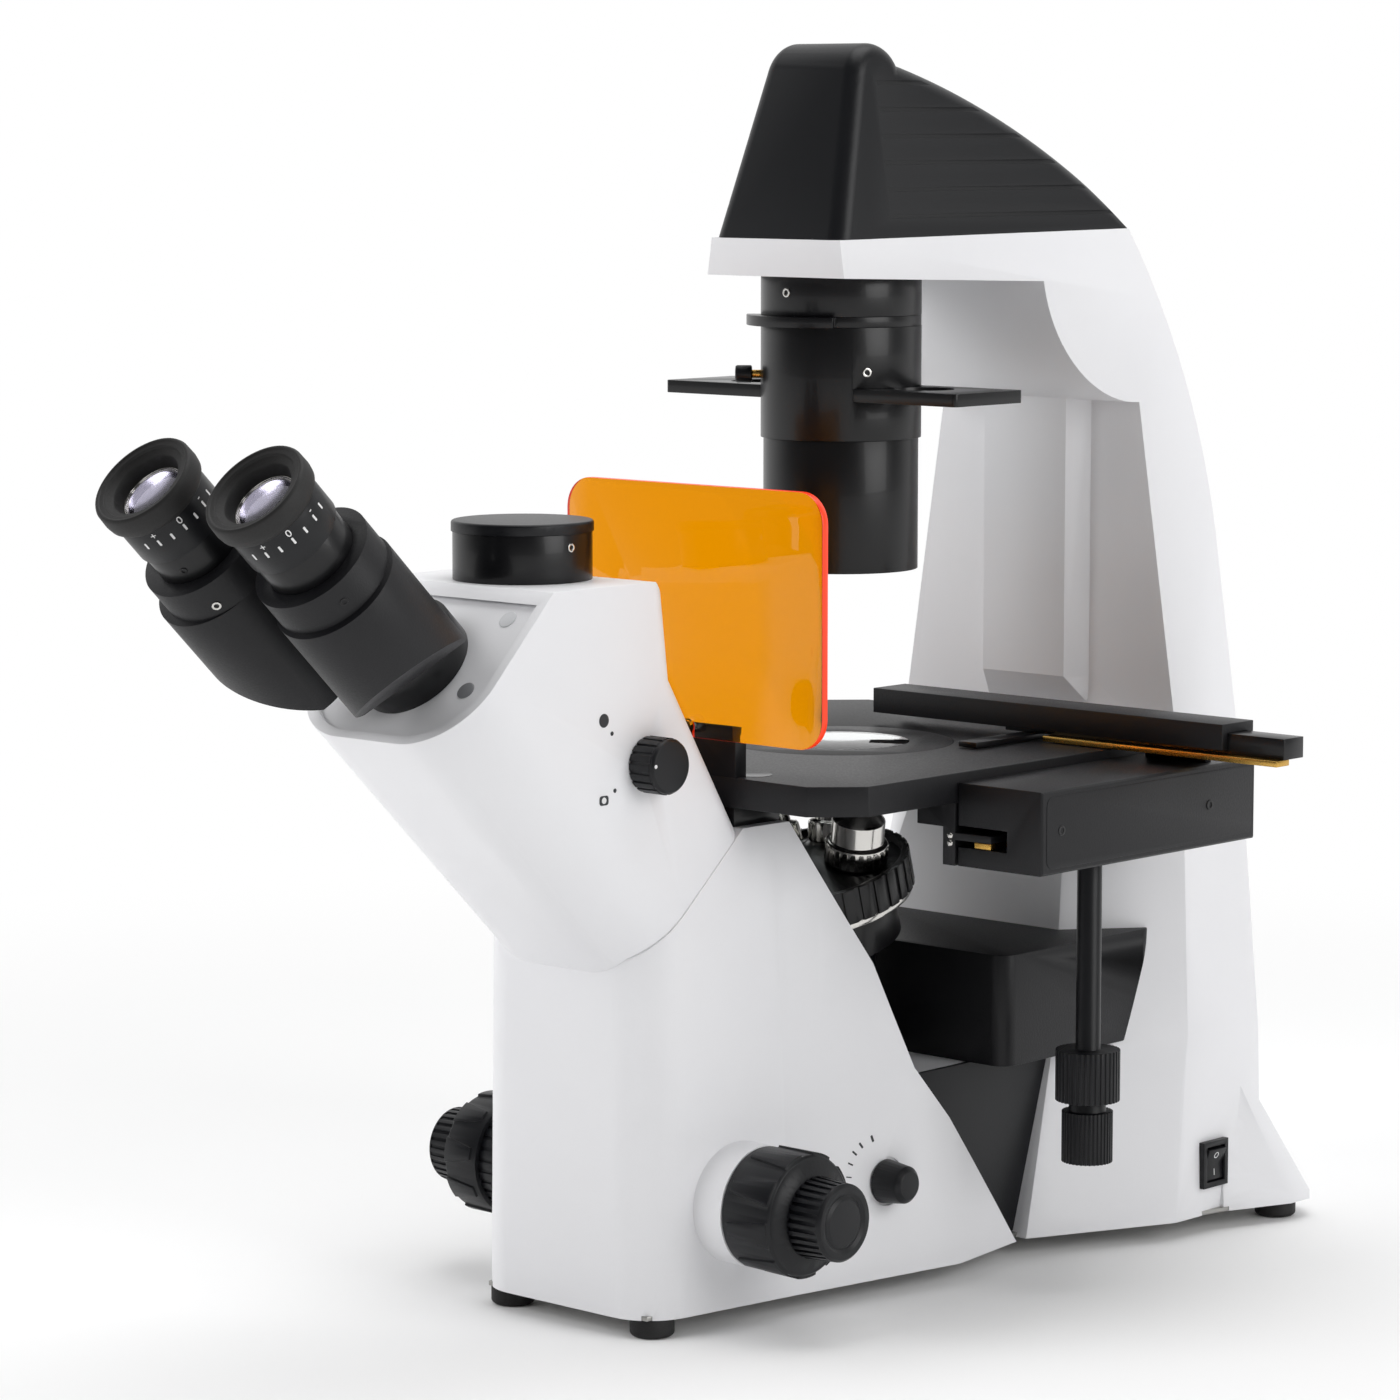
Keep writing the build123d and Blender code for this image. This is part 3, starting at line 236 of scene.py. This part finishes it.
def dress(node, finish, edge_mm):
    source = frame["nodes"][node]
    piece = bpy.data.objects.new(node + "_dressed", source.data.copy())
    bpy.context.scene.collection.objects.link(piece)
    only(piece)
    bpy.ops.object.mode_set(mode="EDIT")
    bpy.ops.mesh.select_all(action="SELECT")
    bpy.ops.mesh.remove_doubles(threshold=0.005 * mm)
    bpy.ops.mesh.dissolve_limited(angle_limit=radians(0.4))
    bpy.ops.object.mode_set(mode="OBJECT")
    if edge_mm:
        soften(piece, edge_mm)
    bpy.ops.object.shade_smooth_by_angle(angle=smooth_below)
    piece.data.materials.clear()
    piece.data.materials.append(finish)
    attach(piece, body_of_node[node])
    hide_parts(node)
    return piece


finishes = {
    "stand_paint": white_powder_coat, "black_plastic": black_abs, "black_metal": black_anodised,
    "grey_plastic": grey_abs_and_plug_shade, "bright_steel": bright_nickel, "steel": ground_steel,
    "brass_rack": milled_brass, "orange_acrylic": orange_acrylic, "glass": coated_glass,
    "rubber": black_rubber}
powder_coated = ("stage_plate", "stage_insert", "stage_drive_box", "filter_housing", "prism_housing_left",
                 "prism_housing_right", "x_guide_bar", "y_guide_rail")
special = {node: black_powder_coat for node in powder_coated}
special["stage_glass"] = plain_glass
# Cast and moulded edges are the roundest, and those of small machined parts are only broken.
small_part_edge_mm = 0.25
edges_mm = {"stand_casting": 0.8, "head_casting": 0.8, "lamp_cap": 0.5, "filter_housing": 0.6,
            "stage_plate": 0.4, "stage_drive_box": 0.5, "orange_shield": 0.4, "rubber_feet": 0.5}
dressed = {}
for node in sorted(frame["nodes"]):
    if node in ("eyecup_left", "eyecup_right"):
        continue
    finish = special.get(node, finishes[slot_of_node[node]])
    dressed[node] = dress(node, finish, edges_mm.get(node, small_part_edge_mm))
print(len(dressed), "nodes dressed,", sum(len(p.data.polygons) for p in dressed.values()), "faces")

# %% [markdown]
# ## The shield's painted glowing edge
# The shield is one sheet, so its edge needs no piece of its own. We give every face that looks
# sideways, up or down the redder finish with its painted glow and leave the two large faces clear.

# %% Shield edge
shield = dressed["orange_shield"]
shield.data.materials.append(acrylic_edge_painted_glow)
for face in shield.data.polygons:
    if abs(face.normal.y) < 0.5:
        face.material_index = 1
print(sum(face.material_index for face in shield.data.polygons), "edge faces")

# %% [markdown]
# ## Turned pieces
# Screws, plugs, rings and eyecups all come off a lathe or out of a round mould. Spinning an outline
# would do, but extruding a disc ring by ring reads like the cuts on the lathe: each ring is a radius
# and a height, and a lower ring inside a higher one is a recess. The piece is made upright at the
# origin, then put in its place, and the place is applied to the mesh.

# %% Turn a piece
def settle(piece, name, finish, body, place):
    piece.name = name
    piece.matrix_world = place
    only(piece)
    bpy.ops.object.transform_apply(location=True, rotation=True, scale=True)
    bpy.ops.object.shade_smooth_by_angle(angle=smooth_below)
    piece.data.materials.clear()
    piece.data.materials.append(finish)
    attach(piece, body)
    return piece


def facing(point, normal, up):
    """Place of a piece at a point in mm: its Z along normal, its Y towards up."""
    z = Vector(normal).normalized()
    x = Vector(up).cross(z).normalized()
    y = z.cross(x)
    return Matrix.Translation(Vector(point) * mm) @ Matrix((x, y, z)).transposed().to_4x4()


def turned(name, rings, finish, body, place, vertices=40, edge_mm=0.12):
    radius, height = rings[0]
    bpy.ops.object.select_all(action="DESELECT")
    bpy.ops.mesh.primitive_circle_add(vertices=vertices, radius=radius * mm, fill_type="NGON")
    piece = bpy.context.object
    bpy.ops.object.mode_set(mode="EDIT")
    bpy.ops.mesh.select_all(action="SELECT")
    bpy.ops.transform.translate(value=(0, 0, height * mm))
    for next_radius, next_height in rings[1:]:
        rise = (0, 0, (next_height - height) * mm)
        bpy.ops.mesh.extrude_region_move(TRANSFORM_OT_translate={"value": rise})
        grow = next_radius / radius
        bpy.ops.transform.resize(value=(grow, grow, 1), center_override=(0, 0, next_height * mm))
        radius, height = next_radius, next_height
    bpy.ops.mesh.select_all(action="SELECT")
    bpy.ops.mesh.normals_make_consistent(inside=False)
    bpy.ops.object.mode_set(mode="OBJECT")
    only(piece)
    soften(piece, edge_mm)
    return settle(piece, name, finish, body, place)


def socket_screw(name, radius, height, finish, body, place):
    rings = [(radius, -1.0), (radius, height), (radius * 0.55, height), (radius * 0.5, height - radius * 0.5)]
    return turned(name, rings, finish, body, place, vertices=24)


# %% [markdown]
# ## The eyecups
# A rubber eyecup is a sleeve with a rolled rim, stepped on the inside so that it folds. Behind it sit
# the bright retaining ring and the domed eye lens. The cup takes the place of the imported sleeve, and
# both cups ride on their dioptre rings.

# %% Eyecups
view_angle = radians(44)
eye_axis = Vector((0, -cos(view_angle), sin(view_angle)))
eye_up = Vector((0, sin(view_angle), cos(view_angle)))
face_origin = Vector((0, -257.4, 283.4))
half_spacing = 31.8
tubes_below_origin = 22.4
cup_rings = [
    (19.0, 124.6), (20.4, 124.8), (21.6, 126.4), (22.0, 129.0), (21.8, 134.0), (21.4, 134.8), (20.8, 135.2),
    (20.1, 135.1), (19.6, 134.6), (17.9, 134.4), (17.5, 133.4), (14.9, 132.4), (14.5, 131.4), (13.7, 127.2),
    (13.6, 125.8)]
lens_ring = [(13.5, 125.7), (13.5, 127.1), (12.9, 127.1), (12.7, 126.2)]
lens_dome = [(12.6, 125.7), (12.6, 126.2), (11.0, 126.8), (8.4, 127.2), (5.0, 127.45), (1.5, 127.55)]
eye_centre = {}
for side, x in (("left", -half_spacing), ("right", half_spacing)):
    eye_centre[side] = face_origin + Vector((x, 0, 0)) - tubes_below_origin * eye_up
    body = "diopter_" + side
    place = facing(eye_centre[side], eye_axis, eye_up)
    cup = turned("eyecup_" + side, cup_rings, black_rubber, body, place, vertices=72, edge_mm=0.2)
    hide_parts("eyecup_" + side)
    turned("lens_ring_" + side, lens_ring, bright_nickel, body, place, vertices=72)
    turned("eye_lens_dome_" + side, lens_dome, coated_glass, body, place, vertices=72)
print("eye lens centre", [round(v) for v in eye_centre["right"] + 127 * eye_axis], "mm")

# %% [markdown]
# ## Marks
# Dials carry pad-printed figures and dashes. A figure is a text object and a dash is a small plate;
# both are turned into mesh, given a hair of thickness and laid on the ring that carries them. We use
# printed film of a tenth of a millimetre, a little more than the real ink, so that it shows.

# %% Figures and dashes
print_thickness = 0.1
lift = 0.02
capital_share = 0.7


def figure(name, text, height_mm, finish, body, place):
    bpy.ops.object.select_all(action="DESELECT")
    bpy.ops.object.text_add()
    piece = bpy.context.object
    piece.data.body = text
    piece.data.size = height_mm * mm / capital_share
    piece.data.align_x = "CENTER"
    piece.data.align_y = "CENTER"
    piece.data.extrude = print_thickness / 2 * mm
    bpy.ops.object.convert(target="MESH")
    return settle(bpy.context.object, name, finish, body, place)


def dash(name, width_mm, height_mm, finish, body, place):
    bpy.ops.object.select_all(action="DESELECT")
    bpy.ops.mesh.primitive_plane_add(size=1)
    piece = bpy.context.object
    bpy.ops.object.mode_set(mode="EDIT")
    bpy.ops.mesh.select_all(action="SELECT")
    bpy.ops.transform.resize(value=(width_mm * mm, height_mm * mm, 1))
    bpy.ops.mesh.bevel(offset=0.3 * min(width_mm, height_mm) * mm, segments=3, affect="VERTICES")
    bpy.ops.mesh.extrude_region_move(TRANSFORM_OT_translate={"value": (0, 0, print_thickness * mm)})
    bpy.ops.mesh.select_all(action="SELECT")
    bpy.ops.mesh.normals_make_consistent(inside=False)
    bpy.ops.object.mode_set(mode="OBJECT")
    return settle(piece, name, finish, body, place)


def on_ring(side, radius, angle, height):
    """Place on a tube of the binocular: angle in degrees from +X towards up, height along the axis."""
    outwards = cos(radians(angle)) * Vector((1, 0, 0)) + sin(radians(angle)) * eye_up
    return facing(eye_centre[side] + radius * outwards + height * eye_axis, outwards, eye_axis)


dioptre_radius = 19.6
dash_height = 118.5
figure_height = 122.3
dash_pitch = 17.5
dashes_each_way = 3
dioptre_scale = {"right": (-31.6, {"0": -31.0, "+": -64.6, "-": 5.0}),
                 "left": (-25.0, {"0": -25.0, "+": -60.4, "-": 10.0})}
for side, (zero, figures) in dioptre_scale.items():
    body = "diopter_" + side
    for k in range(2 * dashes_each_way + 1):
        dash(f"dioptre_dash_{side}_{k}", 0.9, 3.0, white_ink, body,
             on_ring(side, dioptre_radius, zero + dash_pitch * (k - dashes_each_way), dash_height))
    for i, (text, angle) in enumerate(figures.items()):
        figure(f"dioptre_figure_{side}_{i}", text, 3.2, white_ink, body,
               on_ring(side, dioptre_radius + lift, angle, figure_height))

# %% [markdown]
# ## Small screws
# Set screws lock the tubes of the binocular, the photo port and the condenser. Each is a short turned
# piece with a socket, sunk a millimetre into what carries it. A screw on an upright tube faces away
# from the tube's axis.

# %% Set screws
set_screws = [
    socket_screw("housing_screw_right", 1.7, 0.3, black_anodised, "tube_right",
                 on_ring("right", 25.0, -31.6, 86.7)),
    socket_screw("housing_screw_left", 1.9, 0.6, bright_nickel, "tube_left",
                 on_ring("left", 25.0, -50.0, 84.5)),
    socket_screw("sleeve_screw_left", 1.5, 0.4, black_anodised, "tube_left",
                 on_ring("left", 18.5, -61.7, 101.1))]
port_axis_y = -196
for name, point, axis_y, radius in (
        ("port_screw", (28.4, -197.1, 327.2), port_axis_y, 1.8),
        ("condenser_screw_front", (-0.6, -34.8, 424.0), 0, 2.0),
        ("condenser_screw_side", (30.0, -17.7, 390.3), 0, 2.0)):
    outwards = (point[0], point[1] - axis_y, 0)
    set_screws.append(socket_screw(name, radius, 0.5, bright_nickel, "stand",
                                   facing(point, outwards, upright)))
print("set screws:", [screw.name for screw in set_screws])

# %% [markdown]
# ## Plugs and icons on the column
# The castings' assembly screws are hidden by press-in plugs. Beside the light path selector stand two
# generic marks, a dot for the eyepieces and a frame for the camera, each with a small dot between it
# and the knob.

# %% Plugs and icons
column_side = 50.0
for i, (y, z) in enumerate(((-137.0, 178.3), (-147.3, 168.8))):
    turned(f"column_plug_{i}", [(4.1, -1.0), (4.1, 0.35), (3.7, 0.5)], plug_grey, "stand",
           facing((column_side, y, z), to_the_right, upright))
face_depth = 2
# The second plug on the head takes the darker grey as painted shade, for the shadow of the binocular housing.
for i, (x, y, finish) in enumerate(((32.5, 27.2, plug_grey), (34.1, -8.8, grey_abs_and_plug_shade))):
    point = face_origin + Vector((x, 0, 0)) + y * eye_up - face_depth * eye_axis
    turned(f"head_plug_{i}", [(3.9, -1.0), (3.9, 0.3), (3.5, 0.45)], finish, "stand",
           facing(point, eye_axis, eye_up))
eye_place = facing((column_side + lift, -200.7, 259.5), to_the_right, upright)
turned("eye_mark", [(2.8, 0.0), (2.8, 0.08), (1.7, 0.08), (1.6, 0.02)], dark_ink, "stand",
       eye_place, edge_mm=0.01)
camera_place = facing((column_side + lift, -200.8, 227.3), to_the_right, upright)
dash("camera_mark", 5.2, 3.9, dark_ink, "stand", camera_place)
turned("camera_mark_lens", [(1.3, 0.02), (1.3, 0.16)], white_ink, "stand", camera_place,
       edge_mm=0.01)
for i, (y, z) in enumerate(((-196.1, 253.9), (-194.5, 230.7))):
    turned(f"selector_dot_{i}", [(0.9, 0.0), (0.9, 0.1)], dark_ink, "stand",
           facing((column_side + lift, y, z), to_the_right, upright), vertices=24, edge_mm=0.01)
print("plugs and marks on the plane X", column_side)

# %% [markdown]
# ## The stage drive
# A thin plate closes the drive box on the right, held by two countersunk screws. Its corners are rounded
# by a bevel that reads a weight on the four edges through the plate. Steel balls in pairs show at the
# front end of the rail, and a disc marks a spare hole in the stage; its dark face is painted shade of the
# hole's inside.

# %% Stage drive plate and balls
bpy.ops.object.select_all(action="DESELECT")
bpy.ops.mesh.primitive_cube_add(size=1)
plate = bpy.context.object
bpy.ops.object.mode_set(mode="EDIT")
bpy.ops.mesh.select_all(action="SELECT")
bpy.ops.transform.resize(value=(141 * mm, 30 * mm, 0.9 * mm))
bpy.ops.object.mode_set(mode="OBJECT")
corners = plate.modifiers.new("corners", "BEVEL")
corners.width = 4 * mm
corners.segments = 6
corners.limit_method = "WEIGHT"
weight = plate.data.attributes.new("bevel_weight_edge", "FLOAT", "EDGE")
for edge in plate.data.edges:
    a, b = (plate.data.vertices[v].co for v in edge.vertices)
    weight.data[edge.index].value = 1.0 if abs(a.x - b.x) + abs(a.y - b.y) < 1e-9 else 0.0
only(plate)
bpy.ops.object.modifier_apply(modifier=corners.name)
soften(plate, 0.15)
settle(plate, "drive_side_plate", black_powder_coat, "y_carriage",
       facing((149.8, 27.5, 206.5), to_the_right, upright))
for i, y in enumerate((-33.4, 68.0)):
    socket_screw(f"side_plate_screw_{i}", 2.2, 0.25, black_anodised, "y_carriage",
                 facing((150.25, y, 207.0), to_the_right, upright))
ball_rings = [(0.5, -0.6), (1.3, -0.3), (1.45, 0.2), (1.1, 0.7), (0.5, 0.95)]
rail_end_y = -47.0
half_ball_pitch = 1.6
for i, z in enumerate((218.0, 200.0)):
    for j, shift in enumerate((-half_ball_pitch, half_ball_pitch)):
        turned(f"rail_ball_{i}_{j}", ball_rings, bright_nickel, "stand",
               facing((102.0, rail_end_y, z + shift), (0, -1, 0), upright), vertices=24, edge_mm=0.05)
# The disc marks a real spare hole, and its dark face is painted shade of the inside of the hole.
turned("stage_hole_painted_shade", [(7.4, -0.5), (7.4, 0.12), (7.0, 0.12), (6.8, 0.05)], black_anodised, "stand",
       facing((46.6, -107.1, 228.0), upright, (0, 1, 0)), edge_mm=0.04)
print(plate.name, "has", len(plate.data.polygons), "faces")

# %% [markdown]
# ## Dial, selector and switch marks
# The brightness dial has a fan of dashes on the base, growing thicker towards full light. The switch
# rocker carries O and I, and the selector knob one index dot. The base and the rocker slope, so a line
# is sent in from the right to find the surface and its normal before a mark is laid on it.

# %% Dial dashes and switch figures
right_of_model = 0.2
dial_y = -45.0
dial_z = 49.0


def surface_from_right(y, z):
    """Point in mm and normal where a line from the right meets the model; y and z in metres."""
    start = Vector((right_of_model, y, z))
    hit = bpy.context.scene.ray_cast(bpy.context.view_layer.depsgraph, start, (-1, 0, 0))
    return hit[1] / mm, hit[2]


for i, (y, z) in enumerate(((-65.7, 53.6), (-64.4, 59.0), (-61.8, 63.3), (-58.0, 66.1), (-51.5, 68.1))):
    point, normal = surface_from_right(y * mm, z * mm)
    dash(f"dial_dash_{i}", 0.5 + 0.18 * i, 3.0, dark_ink, "stand",
         facing(point, normal, (0, y - dial_y, z - dial_z)))
print("dial dashes at X", round(point.x, 1))
low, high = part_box("selector_knob")
knob_centre = (Vector(low) + Vector(high)) / 2 / mm
knob_radius = (high[2] - low[2]) / 2 / mm
index_point = (high[0] / mm, knob_centre.y - 0.8 * knob_radius, knob_centre.z + 1.0)
turned("selector_index", [(0.8, -0.2), (0.8, 0.1), (0.6, 0.15)], white_ink, "selector",
       facing(index_point, to_the_right, upright), vertices=24, edge_mm=0.02)
low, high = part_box("power_rocker")
for name, text, share in (("switch_on", "I", 0.22), ("switch_off", "O", 0.75)):
    point, normal = surface_from_right((low[1] + high[1]) / 2, low[2] + share * (high[2] - low[2]))
    figure(name, text, 3.0, white_ink, "rocker", facing(point, normal, upright))

# %% [markdown]
# ## Grips on the objectives and the condenser clamp
# The lower ring of each objective is fluted for the fingers. One rib is a small bevelled plate, copied
# round the ring, and the ribs are joined. The rings of the other objectives are copies of the first one,
# turned about the nosepiece's axis, which runs from the apex through the middle of its race.

# %% Objective grips and clamp knob
apex = Vector((0, 0, 88))
low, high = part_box("nosepiece_race")
nose_axis = ((Vector(low) + Vector(high)) / 2 / mm - apex).normalized()
nosepiece_stations = 5
rib_count = 24
rib_radius = 13.45
rib_z = 188.5


def copied(piece, name, move):
    """A copy of a rib or a grip with its own mesh, moved by the matrix."""
    twin = bpy.data.objects.new(name, piece.data.copy())
    bpy.context.scene.collection.objects.link(twin)
    return settle(twin, name, bright_nickel, "turret", move)


first_rib = dash("rib_0", 1.7, 7.0, bright_nickel, "turret",
                 facing((rib_radius, 0, rib_z), to_the_right, upright))
ribs = [first_rib]
for k in range(1, rib_count):
    ribs.append(copied(first_rib, f"rib_{k}", Matrix.Rotation(radians(360 / rib_count * k), 4, "Z")))
bpy.ops.object.select_all(action="DESELECT")
for rib in ribs:
    rib.select_set(True)
bpy.context.view_layer.objects.active = first_rib
bpy.ops.object.join()
first_grip = bpy.context.object
only(first_grip)
thicken = first_grip.modifiers.new("proud", "SOLIDIFY")
thicken.thickness = 0.35 * mm
thicken.offset = 1.0
bpy.ops.object.modifier_apply(modifier=thicken.name)
settle(first_grip, "objective_grip_0", bright_nickel, "turret", Matrix())
for station in (1, 2, 4):
    turn = Matrix.Rotation(radians(360 / nosepiece_stations * station), 4, nose_axis)
    about_apex = Matrix.Translation(apex * mm) @ turn @ Matrix.Translation(-apex * mm)
    copied(first_grip, f"objective_grip_{station}", about_apex)
print("nosepiece axis", [round(v, 3) for v in nose_axis])
clamp_azimuth = radians(222)
clamp_way = Vector((cos(clamp_azimuth), sin(clamp_azimuth), 0))
clamp_place = facing(Vector((0, 0, 388)) + 35.5 * clamp_way, clamp_way, upright)
turned("clamp_spindle", [(1.8, -1.5), (1.8, 3.4)], milled_brass, "stand", clamp_place,
       vertices=32)
turned("clamp_knob", [(3.0, 3.0), (3.8, 3.4), (3.8, 9.4), (3.4, 10.2), (1.6, 10.4)], black_abs, "stand",
       clamp_place)
print("clamp points to", [round(v, 2) for v in clamp_way])

# %% [markdown]
# ## Floor and light
# A product photograph stands on a white sweep. The floor is a plain sheet of pale paper, lit like the
# object, so that it holds a soft shadow; away from the object it fades into the white background,
# which hides the horizon. One helper tells whether a ray comes from the camera, a mirror or glass.

# %% Floor
def seen_ray(tree):
    rays = add(tree, "ShaderNodeLightPath", {}, {}).outputs
    either = add(tree, "ShaderNodeMath", {"operation": "MAXIMUM"},
                 {0: rays["Is Camera Ray"], 1: rays["Is Glossy Ray"]})
    any_of_them = add(tree, "ShaderNodeMath", {"operation": "MAXIMUM"},
                      {0: either.outputs[0], 1: rays["Is Transmission Ray"]})
    return any_of_them.outputs[0]


below_feet = -0.0002
bpy.ops.object.select_all(action="DESELECT")
bpy.ops.mesh.primitive_plane_add(size=60, location=(0, 0, below_feet))
floor = bpy.context.object
floor.name = "studio_floor"
# Uncoated paper scatters light evenly and has almost no highlight.
paper = bpy.data.materials.new("white_paper_floor")
paper.use_nodes = True
tree = paper.node_tree
shader = tree.nodes["Principled BSDF"]
shader.inputs["Base Color"].default_value = linear("F6F6F6")
shader.inputs["Roughness"].default_value = 0.9
shader.inputs["Specular IOR Level"].default_value = 0.1
place = add(tree, "ShaderNodeTexCoord", {}, {}).outputs["Object"]
reach = add(tree, "ShaderNodeVectorMath", {"operation": "LENGTH"}, {0: place})
fade = add(tree, "ShaderNodeMapRange",
           {"From Min": 0.40, "From Max": 1.1, "interpolation_type": "SMOOTHSTEP"},
           {"Value": reach.outputs["Value"]})
white = add(tree, "ShaderNodeEmission", {"Strength": 1.0}, {})
share = add(tree, "ShaderNodeMath", {"operation": "MULTIPLY"},
            {0: fade.outputs["Result"], 1: seen_ray(tree)})
mix = add(tree, "ShaderNodeMixShader", {}, {0: share.outputs[0], 1: shader.outputs[0], 2: white.outputs[0]})
tree.links.new(mix.outputs[0], tree.nodes["Material Output"].inputs["Surface"])
floor.data.materials.append(paper)
print("floor of", floor.dimensions.x, "m")

# %% [markdown]
# ## Backdrop and lamps
# The world is a studio: a white backdrop behind the object and a dim room behind the camera, so that
# black parts stay black and bright metal gets dark and light bands. The camera and clear parts see
# plain white. Three soft lamps add the light from the front, the right and above. The front one is
# hidden from reflections, or it would lay a pale patch on the black parts.

# %% World and lamps
away_from_camera = (-0.68, 0.73, 0.0)
world = bpy.data.worlds.new("studio")
world.use_nodes = True
bpy.context.scene.world = world
tree = world.node_tree
background = tree.nodes["Background"]
direction = add(tree, "ShaderNodeTexCoord", {}, {}).outputs["Generated"]
towards_backdrop = add(tree, "ShaderNodeVectorMath", {"operation": "DOT_PRODUCT", 1: away_from_camera},
                       {0: direction})
studio = add(tree, "ShaderNodeMapRange", {"From Min": -0.2, "From Max": 0.5, "To Min": 0.12, "To Max": 1.0,
                                          "interpolation_type": "SMOOTHSTEP"},
             {"Value": towards_backdrop.outputs["Value"]})
rays = add(tree, "ShaderNodeLightPath", {}, {}).outputs
straight = add(tree, "ShaderNodeMath", {"operation": "MAXIMUM"},
               {0: rays["Is Camera Ray"], 1: rays["Is Transmission Ray"]})
level = add(tree, "ShaderNodeMath", {"operation": "MAXIMUM"},
            {0: straight.outputs[0], 1: studio.outputs["Result"]})
background.inputs["Color"].default_value = (1, 1, 1, 1)
tree.links.new(level.outputs[0], background.inputs["Strength"])


def lamp(name, place, target, size, power):
    data = bpy.data.lights.new(name, "AREA")
    data.shape = "SQUARE"
    data.size = size
    data.energy = power
    thing = bpy.data.objects.new(name, data)
    bpy.context.scene.collection.objects.link(thing)
    thing.location = place
    thing.rotation_euler = (Vector(target) - Vector(place)).to_track_quat("-Z", "Y").to_euler()
    return thing


front = lamp("front_softbox", (-1.2, -2.1, 1.3), (0, 0, 0.25), 1.6, 30)
front.visible_glossy = False
lamp("right_softbox", (2.4, 0.2, 1.1), (0, 0, 0.25), 1.6, 28)
lamp("top_softbox", (0.2, 0.2, 2.5), (0, 0, 0.3), 1.8, 26)
print("lamps:", [light.name for light in bpy.data.lights])
